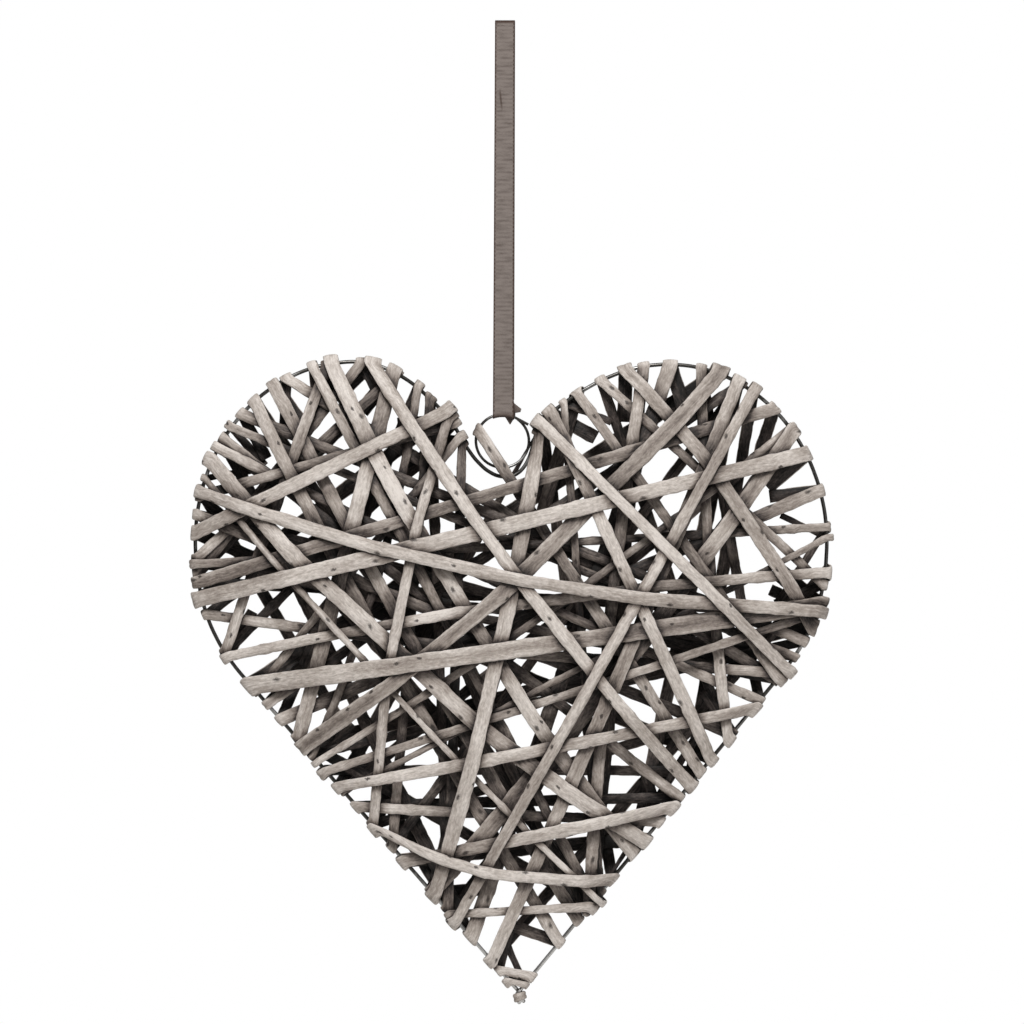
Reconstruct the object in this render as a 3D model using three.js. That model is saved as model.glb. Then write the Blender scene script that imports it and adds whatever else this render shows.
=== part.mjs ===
// Wicker heart: split willow strips wound over a bent wire rim, with a wire ring and a ribbon loop.
// Millimetres, +Z up, front towards -Y. The origin is the top fold of the hanging ribbon.

import * as THREE from 'three';
import { mergeVertices } from 'three/addons/utils/BufferGeometryUtils.js';

// Heart outline, measured from the heart's axis and from the level of its lowest point
const HEART_AXIS_X = 2.6;
const HEART_FOOT_Z = -458;
const RIM_HALF_WIDTH = 147.7;
const TIP_X = 3.6;
const TIP_Z = 4;
const SIDE_END_X = 128.5;
const SIDE_END_Z = 155.1;
const SIDE_BEND_Z = 178.2;
const LOBE_CENTRE_X = 73.4;
const LOBE_CENTRE_Z = 214.5;
const LEFT_LOBE_RISE = 84;
const RIGHT_LOBE_RISE = 82.8;
const LEFT_SHOULDER_X = 50;
const LEFT_SLOPE_X = 26.6;
const LEFT_SLOPE_Z = 268.7;
const LEFT_NECK_X = 14.5;
const LEFT_NECK_Z = 243.9;
const CLEFT_X = -2.3;
const CLEFT_Z = 244.3;
const RIGHT_FOOT_X = 7;
const RIGHT_FOOT_Z = 244.7;
const RIGHT_NECK_X = 10.3;
const RIGHT_NECK_Z = 259.4;
const RIGHT_TURN_X = 11.4;
const RIGHT_TURN_Z = 268;
const RIGHT_SLOPE_X = 19.6;
const RIGHT_SLOPE_Z = 275.2;
const RIGHT_SHOULDER_X = 47;

// Wire
const RIM_WIRE_RADIUS = 0.9;
const RIM_WIRE_SIDES = 6;
const RIM_DIVISIONS = 5;
const TWIST_RADIUS = 1.15;
const TWIST_LENGTH = 5;
const TWIST_TURNS = 1.25;
const TWIST_STEPS = 10;
const TWIST_LEAN = 0.25;
const TWIST_START = 5;

// Strip wound round the twisted wires
const TIP_WRAP_WIDTH = 3.4;
const TIP_WRAP_GAP = 0.3;
const TIP_WRAP_PLACE = 2.3;
const TIP_WRAP_TURN = 5.9;
const TIP_WRAP_STEPS = 14;
const TIP_WRAP_PITCH = 0.9;

// Ring in the cleft, with one end of its wire run on to the heart's right neck
const RING_OUTER_RADIUS = 13.1;
const RING_WIRE_RADIUS = 0.65;
const RING_SIDE_GAP = 0.35;
const RING_X = HEART_AXIS_X + RIGHT_NECK_X - RIM_WIRE_RADIUS - RING_SIDE_GAP - RING_OUTER_RADIUS;
const RING_CLEFT_GAP = 3.9;
const RING_Z = HEART_FOOT_Z + CLEFT_Z + RING_CLEFT_GAP + RING_OUTER_RADIUS;
const RING_TIE_ANGLE = 2.72;
const RING_LEAVE_ANGLE = 1.08;
const RING_TAIL_LENGTH = 7.1;
const RING_END_GAP = 0.12;
const RING_COIL_STEP = 1.45;
const RING_WIRE_SIDES = 6;
const RING_STEPS = 30;

// Ribbon
const RIBBON_WIDTH = 9.8;
const RIBBON_THICKNESS = 0.4;
const RIBBON_LEG_GAP = 0.3;
const RIBBON_DRIFT = -1;
const RIBBON_SPREAD_HEIGHT = 7;
const RIBBON_RING_GAP = 0.35;
const RIBBON_STEPS = 4;
const RIBBON_ARC_STEPS = 6;
const RIBBON_ENDS_Y = 2;

// Outline of the two cut ribbon ends, from the ring's middle: X to the right and Z up
const RIBBON_ENDS = [
  [0.3, 20], [4.5, 18.6], [8.9, 14.9], [8.5, 13.6], [5.4, 12.8],
  [6.1, 11.4], [3.6, 7.7], [1, 11.6], [-1.1, 15.4],
];

// Willow
const STRIP_THICKNESS = 0.9;
const STRIP_GAP = 0.38;
const SIDE_MARGIN = 0.6;
const WRAP_GAP = 0.35;
const WRAP_MARGIN = 1.2;
const WRAP_STRETCH = 1.6;
const WRAP_SHARE = 0.8;
const WRAP_ANGLES = [0, Math.PI / 3, 2 * Math.PI / 3, Math.PI];
const STRIP_SPRING = 0.03;
const TAIL_LENGTH = 24;
const TAIL_DRIFT = 0.7;
const END_CLEARANCE = 7;
const END_SLOPE = 0.45;
const FEWEST_BENDS = 2;
const MOST_BENDS = 4;
const MM_PER_BEND = 45;
const LAYING_ROUNDS = 12;
const LAYING_TOLERANCE = 0.02;
const COURSES_PER_SKEIN = 3;

// Front courses in the order they were wound, the lowest first: [from, to, width, bow].
// From and to are places along the rim in thousandths, clockwise from the tip as seen from the
// front. Bow is how far the middle of the course stands to the right of its straight line.
const ON_RING = -1;
const FRONT_COURSES = [
  [407, 258, 5.0, 0],
  [425, 265, 4.5, 0],
  [369, 804, 5.0, 0],
  [185, 640, 5.0, 0],
  [93, 445, 4.5, 0],
  [52, 471, 5.0, 0],
  [604, 35, 7.0, 0],
  [326, 878, 5.0, 0],
  [119, 893, 5.0, 0],
  [706, 175, 6.0, 0],
  [437, 152, 4.0, -7],
  [341, 781, 5.0, 0],
  [838, 287, 5.5, 0],
  [238, 800, 5.0, 3],
  [469, 193, 4.0, 0],
  [333, 790, 4.0, 0],
  [263, 724, 4.0, 0],
  [548, 938, 3.6, 0],
  [321, 817, 4.5, 2],
  [619, 841, 5.0, 3],
  [569, 752, 4.5, 0],
  [362, 955, 6.0, 3],
  [390, 217, 4.8, 0],
  [462, 296, 4.5, 0],
  [383, 943, 4.8, 0],
  [591, 947, 5.5, 4],
  [350, 969, 6.0, 4],
  [423, 162, 7.0, 0],
  [50, 946, 4.0, 0],
  [148, 672, 3.5, 5],
  [729, 129, 3.0, 0],
  [674, 64, 7.5, -5],
  [556, 803, 5.0, 0],
  [ON_RING, 862, 5.5, 0],
  [142, 766, 4.0, 0],
  [254, 660, 6.0, 0],
  [392, 913, 7.0, 8],
  [638, 20, 6.2, -2],
  [215, 746, 5.0, -6],
  [305, 941, 3.0, 4],
  [314, 905, 7.2, 11.5],
  [84, 884, 5.8, 0],
  [458, 107, 4.5, 6],
  [132, 822, 5.5, 0],
  [532, 62, 6.8, -4.5],
  [582, 773, 6.5, -6],
  [158, 628, 7.2, 9],
  [197, 762, 8.3, 0],
  [540, 854, 6.0, 0],
  [278, 455, 6.3, 0],
  [246, 687, 7.2, 0],
  [412, 870, 6.0, 6],
  [647, 46, 5.2, 0],
  [298, 765, 5.8, 12],
  [105, 929, 5.4, 9],
  [533, 797, 5.6, 0],
];

// Short courses that bind the tip
const TIP_COURSES = [
  [14, 990.5, 4.0, 1],
  [6.8, 995.5, 3.0, 0],
];

// Colours
const willow = new THREE.MeshStandardMaterial({ color: 0xa39d95, roughness: 0.85, metalness: 0 });
const wire = new THREE.MeshStandardMaterial({ color: 0x8d8f90, roughness: 0.4, metalness: 0.9 });
const grosgrain = new THREE.MeshStandardMaterial({ color: 0x7c746d, roughness: 0.9, metalness: 0 });

// Heart outline as one open path that starts and ends at the tip
function rimPath() {
  const lobeHalfWidth = RIM_HALF_WIDTH - LOBE_CENTRE_X;
  const leftTop = LOBE_CENTRE_Z + LEFT_LOBE_RISE;
  const rightTop = LOBE_CENTRE_Z + RIGHT_LOBE_RISE;
  const path = new THREE.Path();
  path.moveTo(TIP_X, TIP_Z);
  path.lineTo(-SIDE_END_X, SIDE_END_Z);
  path.quadraticCurveTo(-RIM_HALF_WIDTH, SIDE_BEND_Z, -RIM_HALF_WIDTH, LOBE_CENTRE_Z);
  path.absellipse(-LOBE_CENTRE_X, LOBE_CENTRE_Z, lobeHalfWidth, LEFT_LOBE_RISE, Math.PI, Math.PI / 2, true);
  path.quadraticCurveTo(-LEFT_SHOULDER_X, leftTop, -LEFT_SLOPE_X, LEFT_SLOPE_Z);
  path.quadraticCurveTo(-LEFT_NECK_X, LEFT_NECK_Z, CLEFT_X, CLEFT_Z);
  path.quadraticCurveTo(RIGHT_FOOT_X, RIGHT_FOOT_Z, RIGHT_NECK_X, RIGHT_NECK_Z);
  path.quadraticCurveTo(RIGHT_TURN_X, RIGHT_TURN_Z, RIGHT_SLOPE_X, RIGHT_SLOPE_Z);
  path.quadraticCurveTo(RIGHT_SHOULDER_X, rightTop, LOBE_CENTRE_X, rightTop);
  path.absellipse(LOBE_CENTRE_X, LOBE_CENTRE_Z, lobeHalfWidth, RIGHT_LOBE_RISE, Math.PI / 2, 0, true);
  path.quadraticCurveTo(RIM_HALF_WIDTH, SIDE_BEND_Z, SIDE_END_X, SIDE_END_Z);
  path.lineTo(TIP_X, TIP_Z);
  return path;
}

// Rim sampled evenly, in the part's own X and Z
const WHOLE_RIM = 1000;
const RIM_SAMPLES = 2000;
const rimPoints = rimPath().getSpacedPoints(RIM_SAMPLES).map(
  (p) => new THREE.Vector2(p.x + HEART_AXIS_X, p.y + HEART_FOOT_Z));
const rimStep = rimPath().getLength() / RIM_SAMPLES;

// Place on the rim at a thousandth, with its direction of travel and outward normal
function rimBar(thousandth) {
  const i = Math.round(THREE.MathUtils.clamp(thousandth / WHOLE_RIM, 0.001, 0.999) * RIM_SAMPLES);
  const along = rimPoints[i + 1].clone().sub(rimPoints[i - 1]).normalize();
  return { index: i, centre: rimPoints[i], along, out: new THREE.Vector2(-along.y, along.x), ring: false };
}

// Place on the ring where a strip ties it to the heart
function ringBar() {
  const out = new THREE.Vector2(Math.cos(RING_TIE_ANGLE), Math.sin(RING_TIE_ANGLE));
  const reach = RING_OUTER_RADIUS - RING_WIRE_RADIUS;
  const centre = out.clone().multiplyScalar(reach).add(new THREE.Vector2(RING_X, RING_Z));
  return { index: -1, centre, along: new THREE.Vector2(out.y, -out.x), out, ring: true };
}

function barAt(place) {
  return place === ON_RING ? ringBar() : rimBar(place);
}

// Height map of everything wound so far, seen from one side of the heart
const CELL = 0.5;
const MAP_MARGIN = 9;
const MAP_X = HEART_AXIS_X - RIM_HALF_WIDTH - MAP_MARGIN;
const MAP_Z = HEART_FOOT_Z - MAP_MARGIN;
const MAP_COLUMNS = Math.ceil(2 * (RIM_HALF_WIDTH + MAP_MARGIN) / CELL);
const MAP_ROWS = Math.ceil((LOBE_CENTRE_Z + LEFT_LOBE_RISE + 2 * MAP_MARGIN) / CELL);
const EMPTY = -999;

class Pile {
  constructor(side) {
    this.side = side;
    this.cells = new Float32Array(MAP_COLUMNS * MAP_ROWS).fill(EMPTY);
  }

  // Highest surface within a cell of a point
  at(x, z) {
    const i = Math.round((x - MAP_X) / CELL);
    const j = Math.round((z - MAP_Z) / CELL);
    if (i < 0 || j < 0 || i >= MAP_COLUMNS || j >= MAP_ROWS) return EMPTY;
    return this.cells[j * MAP_COLUMNS + i];
  }

  // Visit each cell under a triangle of [x, height, z] corners
  overTriangle(p, q, r, visit) {
    const area = (q[0] - p[0]) * (r[2] - p[2]) - (r[0] - p[0]) * (q[2] - p[2]);
    if (Math.abs(area) < 1e-6) return;
    const xs = [p[0], q[0], r[0]];
    const zs = [p[2], q[2], r[2]];
    const iMin = Math.max(0, Math.ceil((Math.min(...xs) - MAP_X) / CELL - 0.5));
    const iMax = Math.min(MAP_COLUMNS - 1, Math.floor((Math.max(...xs) - MAP_X) / CELL + 0.5));
    const jMin = Math.max(0, Math.ceil((Math.min(...zs) - MAP_Z) / CELL - 0.5));
    const jMax = Math.min(MAP_ROWS - 1, Math.floor((Math.max(...zs) - MAP_Z) / CELL + 0.5));
    const slack = -CELL * 0.5 * Math.sqrt(2) / Math.sqrt(Math.abs(area));
    for (let j = jMin; j <= jMax; j += 1) {
      const z = MAP_Z + j * CELL;
      for (let i = iMin; i <= iMax; i += 1) {
        const x = MAP_X + i * CELL;
        const u = ((x - p[0]) * (r[2] - p[2]) - (r[0] - p[0]) * (z - p[2])) / area;
        const v = ((q[0] - p[0]) * (z - p[2]) - (x - p[0]) * (q[2] - p[2])) / area;
        if (u < slack || v < slack || u + v > 1 - slack) continue;
        visit(j * MAP_COLUMNS + i, p[1] + u * (q[1] - p[1]) + v * (r[1] - p[1]), x, z);
      }
    }
  }

  // Raise the map to a triangle of [x, y, z] corners
  cover(p, q, r) {
    const lift = (c) => [c[0], c[1] * this.side, c[2]];
    this.overTriangle(lift(p), lift(q), lift(r), (cell, height) => {
      if (height > this.cells[cell]) this.cells[cell] = height;
    });
  }
}

const frontPile = new Pile(-1);
const backPile = new Pile(1);

function coverWithGeometry(geometry) {
  const flat = geometry.index ? geometry.toNonIndexed() : geometry;
  const at = flat.attributes.position;
  for (let i = 0; i < at.count; i += 3) {
    const [p, q, r] = [0, 1, 2].map((k) => [at.getX(i + k), at.getY(i + k), at.getZ(i + k)]);
    frontPile.cover(p, q, r);
    backPile.cover(p, q, r);
  }
}

// How far wraps already reach at each rim sample, for each wrap angle
const wrapReach = WRAP_ANGLES.map(() => new Float32Array(RIM_SAMPLES + 1).fill(0));

function rimDeviation(bar, i) {
  return rimPoints[i].clone().sub(bar.centre).dot(bar.out);
}

function overWrapFootprint(bar, halfLength, visit) {
  const span = Math.ceil(halfLength / rimStep);
  const first = Math.max(1, bar.index - span);
  const last = Math.min(RIM_SAMPLES - 1, bar.index + span);
  for (let i = first; i <= last; i += 1) visit(i, rimDeviation(bar, i));
}

// Radii of a new wrap at its four angles, clear of the wire and of the wraps under it
function wrapRadii(bar, halfLength) {
  const wireRadius = bar.ring ? RING_WIRE_RADIUS : RIM_WIRE_RADIUS;
  const bare = (wireRadius + WRAP_GAP) / Math.cos(Math.PI / 6);
  if (bar.ring) return WRAP_ANGLES.map(() => bare);
  return WRAP_ANGLES.map((angle, k) => {
    let radius = bare;
    overWrapFootprint(bar, halfLength + WRAP_MARGIN, (i, deviation) => {
      const shift = deviation * Math.sin(angle);
      const under = wrapReach[k][i] > 0 ? wrapReach[k][i] + WRAP_GAP : bare;
      radius = Math.max(radius, under + shift);
    });
    return radius;
  });
}

function recordWrap(bar, halfLength, radii) {
  if (bar.ring) return;
  overWrapFootprint(bar, halfLength, (i, deviation) => {
    WRAP_ANGLES.forEach((angle, k) => {
      const reach = radii[k] + STRIP_THICKNESS - deviation * Math.sin(angle);
      wrapReach[k][i] = Math.max(wrapReach[k][i], reach);
    });
  });
}

// Plan of a course: a shallow arc from one point to another
class Plan {
  constructor(start, end, bow) {
    const chord = end.clone().sub(start);
    const right = new THREE.Vector2(chord.y, -chord.x).normalize();
    const middle = start.clone().add(end).multiplyScalar(0.5);
    this.curve = new THREE.QuadraticBezierCurve(
      start, middle.add(right.multiplyScalar(2 * bow)), end);
    this.start = start;
    this.direction = chord.clone().normalize();
    this.length = chord.length();
  }

  point(s) {
    return this.curve.getPoint(s / this.length);
  }

  heading(s) {
    return this.curve.getTangent(s / this.length);
  }

  // Distance along the chord of the point nearest to a place
  along(x, z) {
    return (x - this.start.x) * this.direction.x + (z - this.start.y) * this.direction.y;
  }
}

// Half length of a strip's slanting section on the rim
function slantHalf(bar, heading, width) {
  const square = Math.max(Math.abs(heading.dot(bar.out)), 1 / WRAP_STRETCH);
  return width / 2 / square;
}

// Upper taut line over points [s, height], sorted by s
function tautLine(points) {
  const line = [];
  for (const p of points) {
    while (line.length > 1) {
      const [a, b] = line.slice(-2);
      if ((b[0] - a[0]) * (p[1] - a[1]) < (p[0] - a[0]) * (b[1] - a[1])) break;
      line.pop();
    }
    line.push(p);
  }
  return line;
}

function crossing(a, b, c, d) {
  const m = (b[1] - a[1]) / (b[0] - a[0]);
  const n = (d[1] - c[1]) / (d[0] - c[0]);
  if (m - n < 1e-6) return b;
  const s = (c[1] - a[1] + m * a[0] - n * c[0]) / (m - n);
  return [s, a[1] + m * (s - a[0])];
}

// Fewer bends, by running the lines beside an edge on until they meet, so nothing gets lower
function simplify(line, mostBends) {
  const bends = line.slice();
  while (bends.length - 2 > mostBends) {
    let best = null;
    for (let i = 1; i + 2 < bends.length; i += 1) {
      const meet = crossing(bends[i - 1], bends[i], bends[i + 1], bends[i + 2]);
      const rise = meet[1] - Math.max(bends[i][1], bends[i + 1][1]);
      const cost = Math.abs(rise) * (bends[i + 1][0] - bends[i][0]);
      if (!best || cost < best.cost) best = { i, meet, cost };
    }
    bends.splice(best.i, 2, best.meet);
  }
  return bends;
}

// One ring of a strip: centre of the inner face, half width vector and thickness vector
function courseRing(plan, s, height, side, width, lateral) {
  const p = plan.point(s);
  const heading = plan.heading(s);
  const half = lateral || new THREE.Vector2(heading.y, -heading.x).multiplyScalar(-side * width / 2);
  return {
    centre: new THREE.Vector3(p.x, side * height, p.y),
    half: new THREE.Vector3(half.x, 0, half.y),
    rise: new THREE.Vector3(0, side * STRIP_THICKNESS, 0),
  };
}

function wrapRings(bar, radii, halves, sense) {
  return WRAP_ANGLES.map((angle, k) => {
    const out = bar.out.clone().multiplyScalar(Math.sin(angle));
    const ray = new THREE.Vector3(out.x, -Math.cos(angle), out.y);
    const mix = k / (WRAP_ANGLES.length - 1);
    const reach = THREE.MathUtils.lerp(halves[0], halves[1], mix);
    const half = bar.along.clone().multiplyScalar(sense * reach);
    return {
      centre: ray.clone().multiplyScalar(radii[k]).add(new THREE.Vector3(bar.centre.x, 0, bar.centre.y)),
      half: new THREE.Vector3(half.x, 0, half.y),
      rise: ray.multiplyScalar(STRIP_THICKNESS),
    };
  });
}

function ringCorners(ring) {
  const inner = [-1, 1].map((k) => ring.centre.clone().addScaledVector(ring.half, k));
  const outer = [1, -1].map((k) => ring.centre.clone().add(ring.rise).addScaledVector(ring.half, k));
  return [...inner, ...outer].map((v) => v.toArray());
}

// Slanting section where a course meets its bar, turned the same way as the course's own sections
function shoulder(plan, s, bar, side, width) {
  const heading = plan.heading(s);
  const across = new THREE.Vector2(heading.y, -heading.x).multiplyScalar(-side);
  const sense = Math.sign(across.dot(bar.along));
  const half = slantHalf(bar, heading, width);
  return { half, sense, lateral: bar.along.clone().multiplyScalar(sense * half) };
}

// Lay one course over the pile: returns its rings and the heights it needs at both ends
function layCourse(plan, side, width, ends) {
  const pile = side < 0 ? frontPile : backPile;
  const heights = [ends[0].height, ends[1].height];
  const laterals = ends.map((end, k) => (
    end.bar ? shoulder(plan, k ? plan.length : 0, end.bar, side, width).lateral : null));
  const need = new Map();
  const bins = Math.ceil(plan.length);
  for (let s = 0; s <= bins; s += 1) {
    const at = Math.min(s, plan.length);
    const p = plan.point(at);
    const heading = plan.heading(at);
    let high = EMPTY;
    for (let w = -width / 2 - SIDE_MARGIN; w <= width / 2 + SIDE_MARGIN; w += CELL) {
      high = Math.max(high, pile.at(p.x + heading.y * w, p.y - heading.x * w));
    }
    const share = at / plan.length;
    const belly = 4 * STRIP_SPRING * plan.length * share * (1 - share);
    need.set(s, Math.max(high + STRIP_GAP, belly));
  }
  const bends = THREE.MathUtils.clamp(Math.round(plan.length / MM_PER_BEND), FEWEST_BENDS, MOST_BENDS);
  const free = ends.map((end) => !end.bar);
  if (free[0]) heights[0] = Math.max(STRIP_THICKNESS, need.get(0));
  if (free[1]) heights[1] = Math.max(STRIP_THICKNESS, need.get(bins));
  const low = free[0] ? 0 : END_CLEARANCE;
  const high = free[1] ? plan.length : plan.length - END_CLEARANCE;
  let rings = [];
  for (let round = 0; round < LAYING_ROUNDS; round += 1) {
    const points = [[0, heights[0]]];
    for (const [s, height] of need) {
      if (s > 0 && s < low) heights[0] = Math.max(heights[0], height - END_SLOPE * s);
      const left = plan.length - s;
      if (s > high && left > 0) heights[1] = Math.max(heights[1], height - END_SLOPE * left);
      if (s >= low && s <= high && s > 0 && left > 0) points.push([s, height]);
    }
    points[0][1] = heights[0];
    points.push([plan.length, heights[1]]);
    const line = simplify(tautLine(points), bends);
    rings = line.map(([s, height], k) => {
      const last = k === line.length - 1;
      const lateral = k === 0 ? laterals[0] : last ? laterals[1] : null;
      return courseRing(plan, s, height, side, width, lateral);
    });
    if (!raiseWhereTight(pile, plan, rings, need, heights, low, high)) break;
  }
  return { rings, heights };
}

// Compare a course's inner face with the pile and raise what it needs; true while something changed
function raiseWhereTight(pile, plan, rings, need, heights, low, high) {
  let changed = false;
  for (let k = 0; k + 1 < rings.length; k += 1) {
    const [a, b] = ringCorners(rings[k]);
    const [c, d] = ringCorners(rings[k + 1]);
    const lift = (v) => [v[0], v[1] * pile.side, v[2]];
    for (const [p, q, r] of [[a, b, d], [a, d, c]]) {
      pile.overTriangle(lift(p), lift(q), lift(r), (cell, height, x, z) => {
        const short = pile.cells[cell] + STRIP_GAP - LAYING_TOLERANCE - height;
        if (pile.cells[cell] === EMPTY || short <= 0) return;
        const s = THREE.MathUtils.clamp(Math.round(plan.along(x, z)), 0, Math.floor(plan.length));
        changed = true;
        if (s < low) {
          heights[0] = Math.max(heights[0], rings[0].centre.y * pile.side + short);
        } else if (s > high) {
          heights[1] = Math.max(heights[1], rings.at(-1).centre.y * pile.side + short);
        } else {
          need.set(s, Math.max(need.get(s), height + short + LAYING_TOLERANCE));
        }
      });
    }
  }
  return changed;
}

function coverWithRings(rings) {
  for (let k = 0; k + 1 < rings.length; k += 1) {
    const a = ringCorners(rings[k]);
    const b = ringCorners(rings[k + 1]);
    for (const pile of [frontPile, backPile]) {
      for (const [i, j] of [[2, 3], [0, 1]]) {
        pile.cover(a[i], a[j], b[j]);
        pile.cover(a[i], b[j], b[i]);
      }
    }
  }
}

// Is the straight line between two rim places inside the heart?
function insideHeart(start, end) {
  const steps = 24;
  for (let k = 1; k < steps; k += 1) {
    const p = start.centre.clone().lerp(end.centre, k / steps);
    let inside = false;
    for (let i = 0, j = RIM_SAMPLES; i < RIM_SAMPLES; j = i, i += 1) {
      const a = rimPoints[i];
      const b = rimPoints[j];
      const cuts = (a.y > p.y) !== (b.y > p.y);
      if (cuts && p.x < (b.x - a.x) * (p.y - a.y) / (b.y - a.y) + a.x) inside = !inside;
    }
    if (!inside) return false;
  }
  return true;
}

// Turn a front course round if that makes the course behind it, from the last one's end, longer
function chooseStart(lastEnd, course) {
  const [from, to, width, bow] = course;
  if (lastEnd === null || from === ON_RING) return course;
  const reach = (place) => {
    const a = barAt(lastEnd);
    const b = barAt(place);
    return insideHeart(a, b) ? a.centre.distanceTo(b.centre) : 0;
  };
  return reach(from) >= reach(to) ? course : [to, from, width, -bow];
}

// A wrap still open: its bar, its radii and what each side of it needs
function openWrap(place, width) {
  const bar = barAt(place);
  const halfLength = width / 2 * WRAP_STRETCH * WRAP_SHARE;
  return { bar, radii: wrapRadii(bar, halfLength), halves: [0, 0], sense: 0 };
}

function closeWrap(wrap, frontFirst) {
  const rings = wrapRings(wrap.bar, wrap.radii, wrap.halves, wrap.sense);
  coverWithRings(rings);
  recordWrap(wrap.bar, Math.max(...wrap.halves), wrap.radii);
  return frontFirst ? rings.slice(1, -1) : rings.slice(1, -1).reverse();
}

// One course between two wraps, with the wraps' radii and widths brought up to it
function windCourse(startWrap, endWrap, side, width, bow) {
  const slot = side < 0 ? 0 : WRAP_ANGLES.length - 1;
  const plan = new Plan(startWrap.bar.centre.clone(), endWrap.bar.centre.clone(), bow);
  const laid = layCourse(plan, side, width, [
    { bar: startWrap.bar, height: startWrap.radii[slot] },
    { bar: endWrap.bar, height: endWrap.radii[slot] },
  ]);
  [startWrap, endWrap].forEach((wrap, k) => {
    const end = shoulder(plan, k ? plan.length : 0, wrap.bar, side, width);
    wrap.radii[slot] = laid.heights[k];
    wrap.halves[side < 0 ? 0 : 1] = end.half;
    wrap.sense = end.sense;
  });
  return laid.rings;
}

// Way that a free end takes from its wrap: straight back from the ring, and mirrored at the rim
function tailWay(bar, heading) {
  if (bar.ring) return heading.clone().negate();
  const out = heading.dot(bar.out);
  const drift = THREE.MathUtils.clamp(heading.dot(bar.along) / Math.abs(out), -TAIL_DRIFT, TAIL_DRIFT);
  return bar.out.clone().negate().addScaledVector(bar.along, drift * Math.sign(out)).normalize();
}

// Free end behind the heart, leaving the wrap as the front course came to it
function windTail(wrap, heading, width, leaving) {
  const tip = wrap.bar.centre.clone().addScaledVector(tailWay(wrap.bar, heading), TAIL_LENGTH);
  const slot = WRAP_ANGLES.length - 1;
  const ends = [{ bar: wrap.bar, height: wrap.radii[slot] }, { bar: null, height: 0 }];
  const points = [wrap.bar.centre.clone(), tip];
  if (!leaving) {
    ends.reverse();
    points.reverse();
  }
  const plan = new Plan(points[0], points[1], 0);
  const laid = layCourse(plan, 1, width, ends);
  const atWrap = leaving ? 0 : 1;
  const end = shoulder(plan, leaving ? 0 : plan.length, wrap.bar, 1, width);
  wrap.radii[slot] = laid.heights[atWrap];
  wrap.halves[1] = end.half;
  wrap.sense = end.sense;
  return laid.rings;
}

// Closed band through all rings
function bandGeometry(rings) {
  const positions = [];
  const corners = rings.map(ringCorners);
  const quad = (a, b, c, d) => positions.push(...a, ...b, ...c, ...a, ...c, ...d);
  for (let k = 0; k + 1 < corners.length; k += 1) {
    const a = corners[k];
    const b = corners[k + 1];
    for (let i = 0; i < 4; i += 1) {
      const j = (i + 1) % 4;
      quad(a[i], a[j], b[j], b[i]);
    }
  }
  const [first, last] = [corners[0], corners.at(-1)];
  quad(first[3], first[2], first[1], first[0]);
  quad(last[0], last[1], last[2], last[3]);
  const geometry = new THREE.BufferGeometry();
  geometry.setAttribute('position', new THREE.Float32BufferAttribute(positions, 3));
  return outwards(mergeVertices(geometry, 1e-4));
}

// Turn a closed mesh's faces out when its signed volume is negative
function outwards(geometry) {
  const at = geometry.attributes.position;
  const index = geometry.index.array;
  const [a, b, c] = [new THREE.Vector3(), new THREE.Vector3(), new THREE.Vector3()];
  let volume = 0;
  for (let i = 0; i < index.length; i += 3) {
    a.fromBufferAttribute(at, index[i]);
    b.fromBufferAttribute(at, index[i + 1]);
    c.fromBufferAttribute(at, index[i + 2]);
    volume += a.dot(b.cross(c));
  }
  if (volume < 0) {
    for (let i = 0; i < index.length; i += 3) [index[i], index[i + 1]] = [index[i + 1], index[i]];
  }
  geometry.computeVertexNormals();
  return geometry;
}

// One skein: a tail, front courses joined by courses behind, and a tail
function windSkein(courses) {
  const rings = [];
  let wrap = null;
  let lastEnd = null;
  let lastWidth = 0;
  courses.forEach((row, n) => {
    const [from, to, width, bow] = chooseStart(lastEnd, row);
    const start = openWrap(from, width);
    const end = openWrap(to, width);
    if (n === 0) {
      const heading = start.bar.centre.clone().sub(end.bar.centre).normalize();
      const tail = windTail(start, heading, width, false);
      rings.push(...tail);
      coverWithRings(tail);
    } else {
      const behind = windCourse(wrap, start, 1, (width + lastWidth) / 2, 0);
      rings.push(...closeWrap(wrap, true), ...behind);
      coverWithRings(behind);
    }
    const front = windCourse(start, end, -1, width, bow);
    rings.push(...closeWrap(start, false), ...front);
    coverWithRings(front);
    wrap = end;
    lastEnd = to;
    lastWidth = width;
    if (n === courses.length - 1) {
      const heading = end.bar.centre.clone().sub(start.bar.centre).normalize();
      const tail = windTail(end, heading, width, true);
      rings.push(...closeWrap(end, true), ...tail);
      coverWithRings(tail);
    }
  });
  return bandGeometry(rings);
}

// Twist of the two wire ends: where it starts and its own axes
const twistAxis = new THREE.Vector3(Math.sin(TWIST_LEAN), 0, -Math.cos(TWIST_LEAN));
const twistStart = new THREE.Vector3(TIP_X + HEART_AXIS_X, 0, TIP_Z + HEART_FOOT_Z);
const twistSideways = new THREE.Vector3(0, 1, 0);
const twistUpward = new THREE.Vector3().crossVectors(twistAxis, twistSideways);

function acrossTwist(turn) {
  return twistSideways.clone().multiplyScalar(Math.cos(turn)).addScaledVector(twistUpward, Math.sin(turn));
}

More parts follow.
